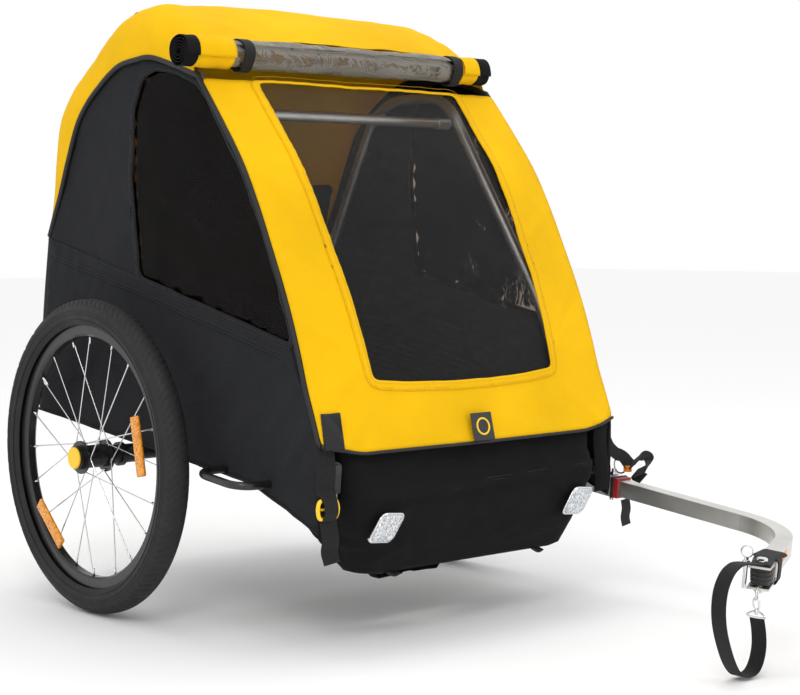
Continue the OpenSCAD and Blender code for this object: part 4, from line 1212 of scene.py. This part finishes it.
def make_safety_strap():
    route = smooth([(x, STRAP_Y, z) for x, z in STRAP_ROUTE], 140)
    strap = ribbon("safety_strap_webbing", route, (0.02, 1, 0), STRAP_W, 2.0, M["webbing"])
    settle(strap, replaces="safety_strap")
    n = len(route)
    threads = []
    for a, b in ((0.90, 0.97),):
        i, j = int(a * n), int(b * n)
        for dy in (-9, 9):
            threads.append(stitches("strap_stitch", route[i:j] + (1.4, dy, 0), (0, 0, 0),
                                    M["dark_thread"]))
        across = np.array([route[i] + (1.4, dy, 0) for dy in np.linspace(-9, 9, 10)])
        threads.append(stitches("strap_stitch", across, (0, 0, 0), M["dark_thread"]))
    sewn = join("safety_strap_stitching", threads)
    settle(sewn)
    def hook_spots(rows):
        return [(HOOK_X, STRAP_Y + 1 + dy, RING_BAR_Z + dz) for dy, dz in rows]

    loop_path = hook_spots([(-15, 0.2), (0, -0.6), (15, 0.2), (13, 3.2), (3, 7.7), (-3, 7.7),
                            (-13, 3.2), (-15, 0.2)])
    ring_part = tube("hook_d_ring", smooth(loop_path, 60)[:-1], 1.5, M["chrome"], 10, closed=True)
    swivel = lathe("hook_swivel", [(3.7, 0.01), (3.7, 2.6), (4.7, 3.2), (7.7, 3.2), (8.8, 2.4),
                                   (10.7, 2.0), (10.7, 0.01)], hook_spots([(0, 0)])[0],
                   (0, 0, 1), M["chrome"], 24)
    hook_path = smooth(hook_spots([(-1.2, 9.7), (-4.6, 12.7), (-4.9, 17.2), (-4.4, 22.8), (0, 26.2),
                                   (4.4, 22.8), (4.9, 17.2), (4.4, 13.7)]), 60)
    hook = tube("hook_wire", hook_path, 1.5, M["chrome"], 10)
    gate = tube("hook_gate", hook_spots([(1.0, 10.8), (3.6, 12.8), (4.2, 14.6)]), 1.0,
                M["chrome"], 8)
    snap = join("snap_hook_wire", [ring_part, swivel, hook, gate])
    settle(snap, replaces="snap_hook")
    path = place(route)


def make_pin_strap():
    """The crumpled webbing by the pull pin, with its orange tag."""
    path = smooth([(300, -478, 268), (305, -483, 252), (316, -487, 240), (328, -492, 234),
                   (331, -505, 222), (332, -516, 228), (334, -528, 238), (335, -540, 234),
                   (334, -538, 220), (332, -526, 212), (333, -514, 206), (335, -530, 201)], 80)
    strap = ribbon("pin_webbing", path, (0.75, 0.1, 0.65), 22, 1.8, M["webbing"])
    tail = smooth([(327, -498, 165), (328, -499.5, 150), (326.5, -498.5, 136), (328, -500, 123)], 24)
    hanging = ribbon("pin_webbing_tail", tail, (1, 0.1, -0.1), 24, 1.6, M["webbing"])
    settle(join("pin_strap_webbing", [strap, hanging]), replaces="pin_strap")
    tag = rounded_box("pin_tag", (9, 11, 10), 0.9, M["orange_label"], (327, -503, 215))
    settle(tag)


# ---------------------------------------------------------------- seat
def puff(name, node_name, material, pressure, cap):
    """Inflate a copy of a CAD soft solid with the cloth solver, and crown it."""
    source = NODES[node_name]
    mesh = source.data.copy()
    piece = bpy.data.objects.new(name, mesh)
    bpy.context.collection.objects.link(piece)
    mesh.materials.clear()
    mesh.materials.append(material)
    made = piece.modifiers.new("remesh", "REMESH")
    made.mode = "VOXEL"
    made.voxel_size = 0.009
    bake(piece)
    start = np.array([v.co for v in piece.data.vertices])
    cloth = piece.modifiers.new("cloth", "CLOTH")
    cloth.settings.quality = 5
    cloth.settings.use_pressure = True
    cloth.settings.uniform_pressure_force = pressure
    cloth.settings.effector_weights.gravity = 0
    cloth.settings.tension_stiffness = 12
    cloth.settings.bending_stiffness = 1.0
    for k in range(1, 17):
        bpy.context.scene.frame_set(k)
    bake(piece)
    end = np.array([v.co for v in piece.data.vertices])
    move = end - start
    size = np.linalg.norm(move, axis=1, keepdims=True)
    move *= np.minimum(1, cap / np.maximum(size, 1e-9))
    return piece, start + move


def bake(piece):
    graph = bpy.context.evaluated_depsgraph_get()
    fresh = bpy.data.meshes.new_from_object(piece.evaluated_get(graph))
    piece.modifiers.clear()
    piece.data = fresh


def make_seat():
    for name, node_name, axis in (("seat_pad", "seat_cushion", 1), ("seat_back_pad", "seat_back", 2)):
        piece, points = puff(name, node_name, M["seat"], 3.0, 0.009)
        x = points[:, 0]
        along = points[:, axis]
        middle = np.exp(-(x / 0.012) ** 2)
        rows = 0.5 + 0.5 * np.cos((along - along.min()) / (along.max() - along.min()) * 6 * math.pi)
        dent = 0.009 * middle + 0.004 * np.where(np.abs(x) > 0.02, rows ** 12, 0)
        centre3 = points.mean(0)
        flat_axis = 3 - axis
        lean = np.sign(points[:, flat_axis] - centre3[flat_axis])
        points[:, flat_axis] -= lean * dent * (np.abs(points[:, flat_axis] - centre3[flat_axis]) > 0.01)
        piece.data.vertices.foreach_set("co", points.ravel())
        piece.data.polygons.foreach_set("use_smooth", [True] * len(piece.data.polygons))
        soften(piece)
        settle(piece, replaces=node_name, fold=True)
    straps = []
    for x in (-150, -78, 78, 150):
        path = smooth([(x, 117, 335), (x, 118.5, 350), (x * 1.01, 124, 420), (x, 133, 480),
                       (x, 140, 552), (x, 143, 560)], 60)
        straps.append(ribbon("harness_strap", path, (1, 0, 0), 24, 1.8, M["webbing"]))
    settle(join("harness_webbing", straps), replaces="harness", fold=True)


# ---------------------------------------------------------------- CAD parts that stay
PAINT = {
    "aluminium": ["base_rails", "cross_tubes", "side_frame_right", "side_frame_left",
                  "front_crossbar", "rear_crossbar", "tow_receiver"],
    "bar_metal": ["tow_bar"],
    "black_paint": ["axle_tube", "axle_receivers", "wheel_guards", "rim_right", "rim_left",
                    "hub_right", "hub_left", "stub_axle_right", "stub_axle_left", "hinge_pins"],
    "black_plastic": ["hinge_brackets", "floor_pan"],
    "chrome": ["spokes_right", "spokes_left", "connector_bolt", "hook_ring", "tow_bar_pin",
               "hitch_pin"],
    "steel": ["bearings_right", "bearings_left", "end_bracket"],
    "connector": ["flex_connector", "receiver_gasket"],
    "red_plastic": ["tow_bar_collar"],
}


def paint_cad():
    for key, names in PAINT.items():
        for name in names:
            mesh = NODES[name].data
            mesh.materials.clear()
            mesh.materials.append(M[key])




# ---------------------------------------------------------------- sheets and the sizes of their flat cuts
def flat_cut(piece):
    """The sides of the smallest rectangle that a piece's flat pattern is cut from, and the
    pattern's area, in metres, from its UV layout."""
    mesh = piece.data
    uv = np.empty(len(mesh.loops) * 2)
    mesh.uv_layers.active.data.foreach_get("uv", uv)
    uv = uv.reshape(-1, 2)
    area = 0.0
    for face in mesh.polygons:
        corner = uv[face.loop_start:face.loop_start + face.loop_total]
        ahead = np.roll(corner, -1, axis=0)
        area += abs((corner[:, 0] * ahead[:, 1] - ahead[:, 0] * corner[:, 1]).sum()) / 2
    sides = [np.ptp(uv @ [[math.cos(t), -math.sin(t)], [math.sin(t), math.cos(t)]], axis=0)
             for t in np.radians(np.arange(0, 90, 3))]
    width, length = min(sides, key=np.prod)
    return float(width), float(length), float(min(area, width * length))


SHEETS = [("front_panel_cloth", "stretched", ["front_mesh_net"], ["mesh_hem"]),
          ("front_mesh_net", "stretched", ["front_panel_cloth"], []),
          ("side_cloth_right", "stretched", ["arch_piping_right"], ["window_hem_right"]),
          ("side_cloth_left", "stretched", ["arch_piping_left"], ["window_hem_left"]),
          ("side_film_right", "stretched", ["side_cloth_right"], []),
          ("side_film_left", "stretched", ["side_cloth_left"], []),
          ("side_flap_right", "laid", ["side_cloth_right"], []),
          ("side_flap_left", "laid", ["side_cloth_left"], []),
          ("roof_cloth", "stretched", ["side_frame_right", "side_frame_left"], []),
          ("rear_cloth", "stretched", ["side_cloth_right", "side_cloth_left"], []),
          ("nose_cloth", "stretched", ["base_rails"], []),
          ("footwell_cloth", "hung", ["base_rails"], []),
          ("rolled_vinyl", "folded", ["roll_strap_webbing"], []),
          ("roll_end_yellow_0", "folded", ["roll_strap_webbing"], []),
          ("roll_end_yellow_1", "folded", ["roll_strap_webbing"], []),
          ("roll_end_black_0", "folded", ["roll_strap_webbing"], []),
          ("roll_end_black_1", "folded", ["roll_strap_webbing"], []),
          ("hook_patch", "laid", ["front_panel_cloth"], []),
          ("corner_gusset", "hung", ["front_panel_cloth"], [])]


def declare_sheets():
    for name, held, rests_on, trims in SHEETS:
        piece = bpy.data.objects[name]
        width, length, area = flat_cut(piece)


add_camera()
make_safety_strap()
add_studio()
make_front()
make_roof()
make_snap()
make_rear()
for side, label in ((-1, "right"), (1, "left")):
    make_side(side, label)
    make_wheel(side, label)
make_nose()
make_footwell()
make_roll()
make_nose_fittings()
make_corners()
make_badge()
make_bar_end()
make_pin_strap()
make_seat()
paint_cad()
declare_sheets()
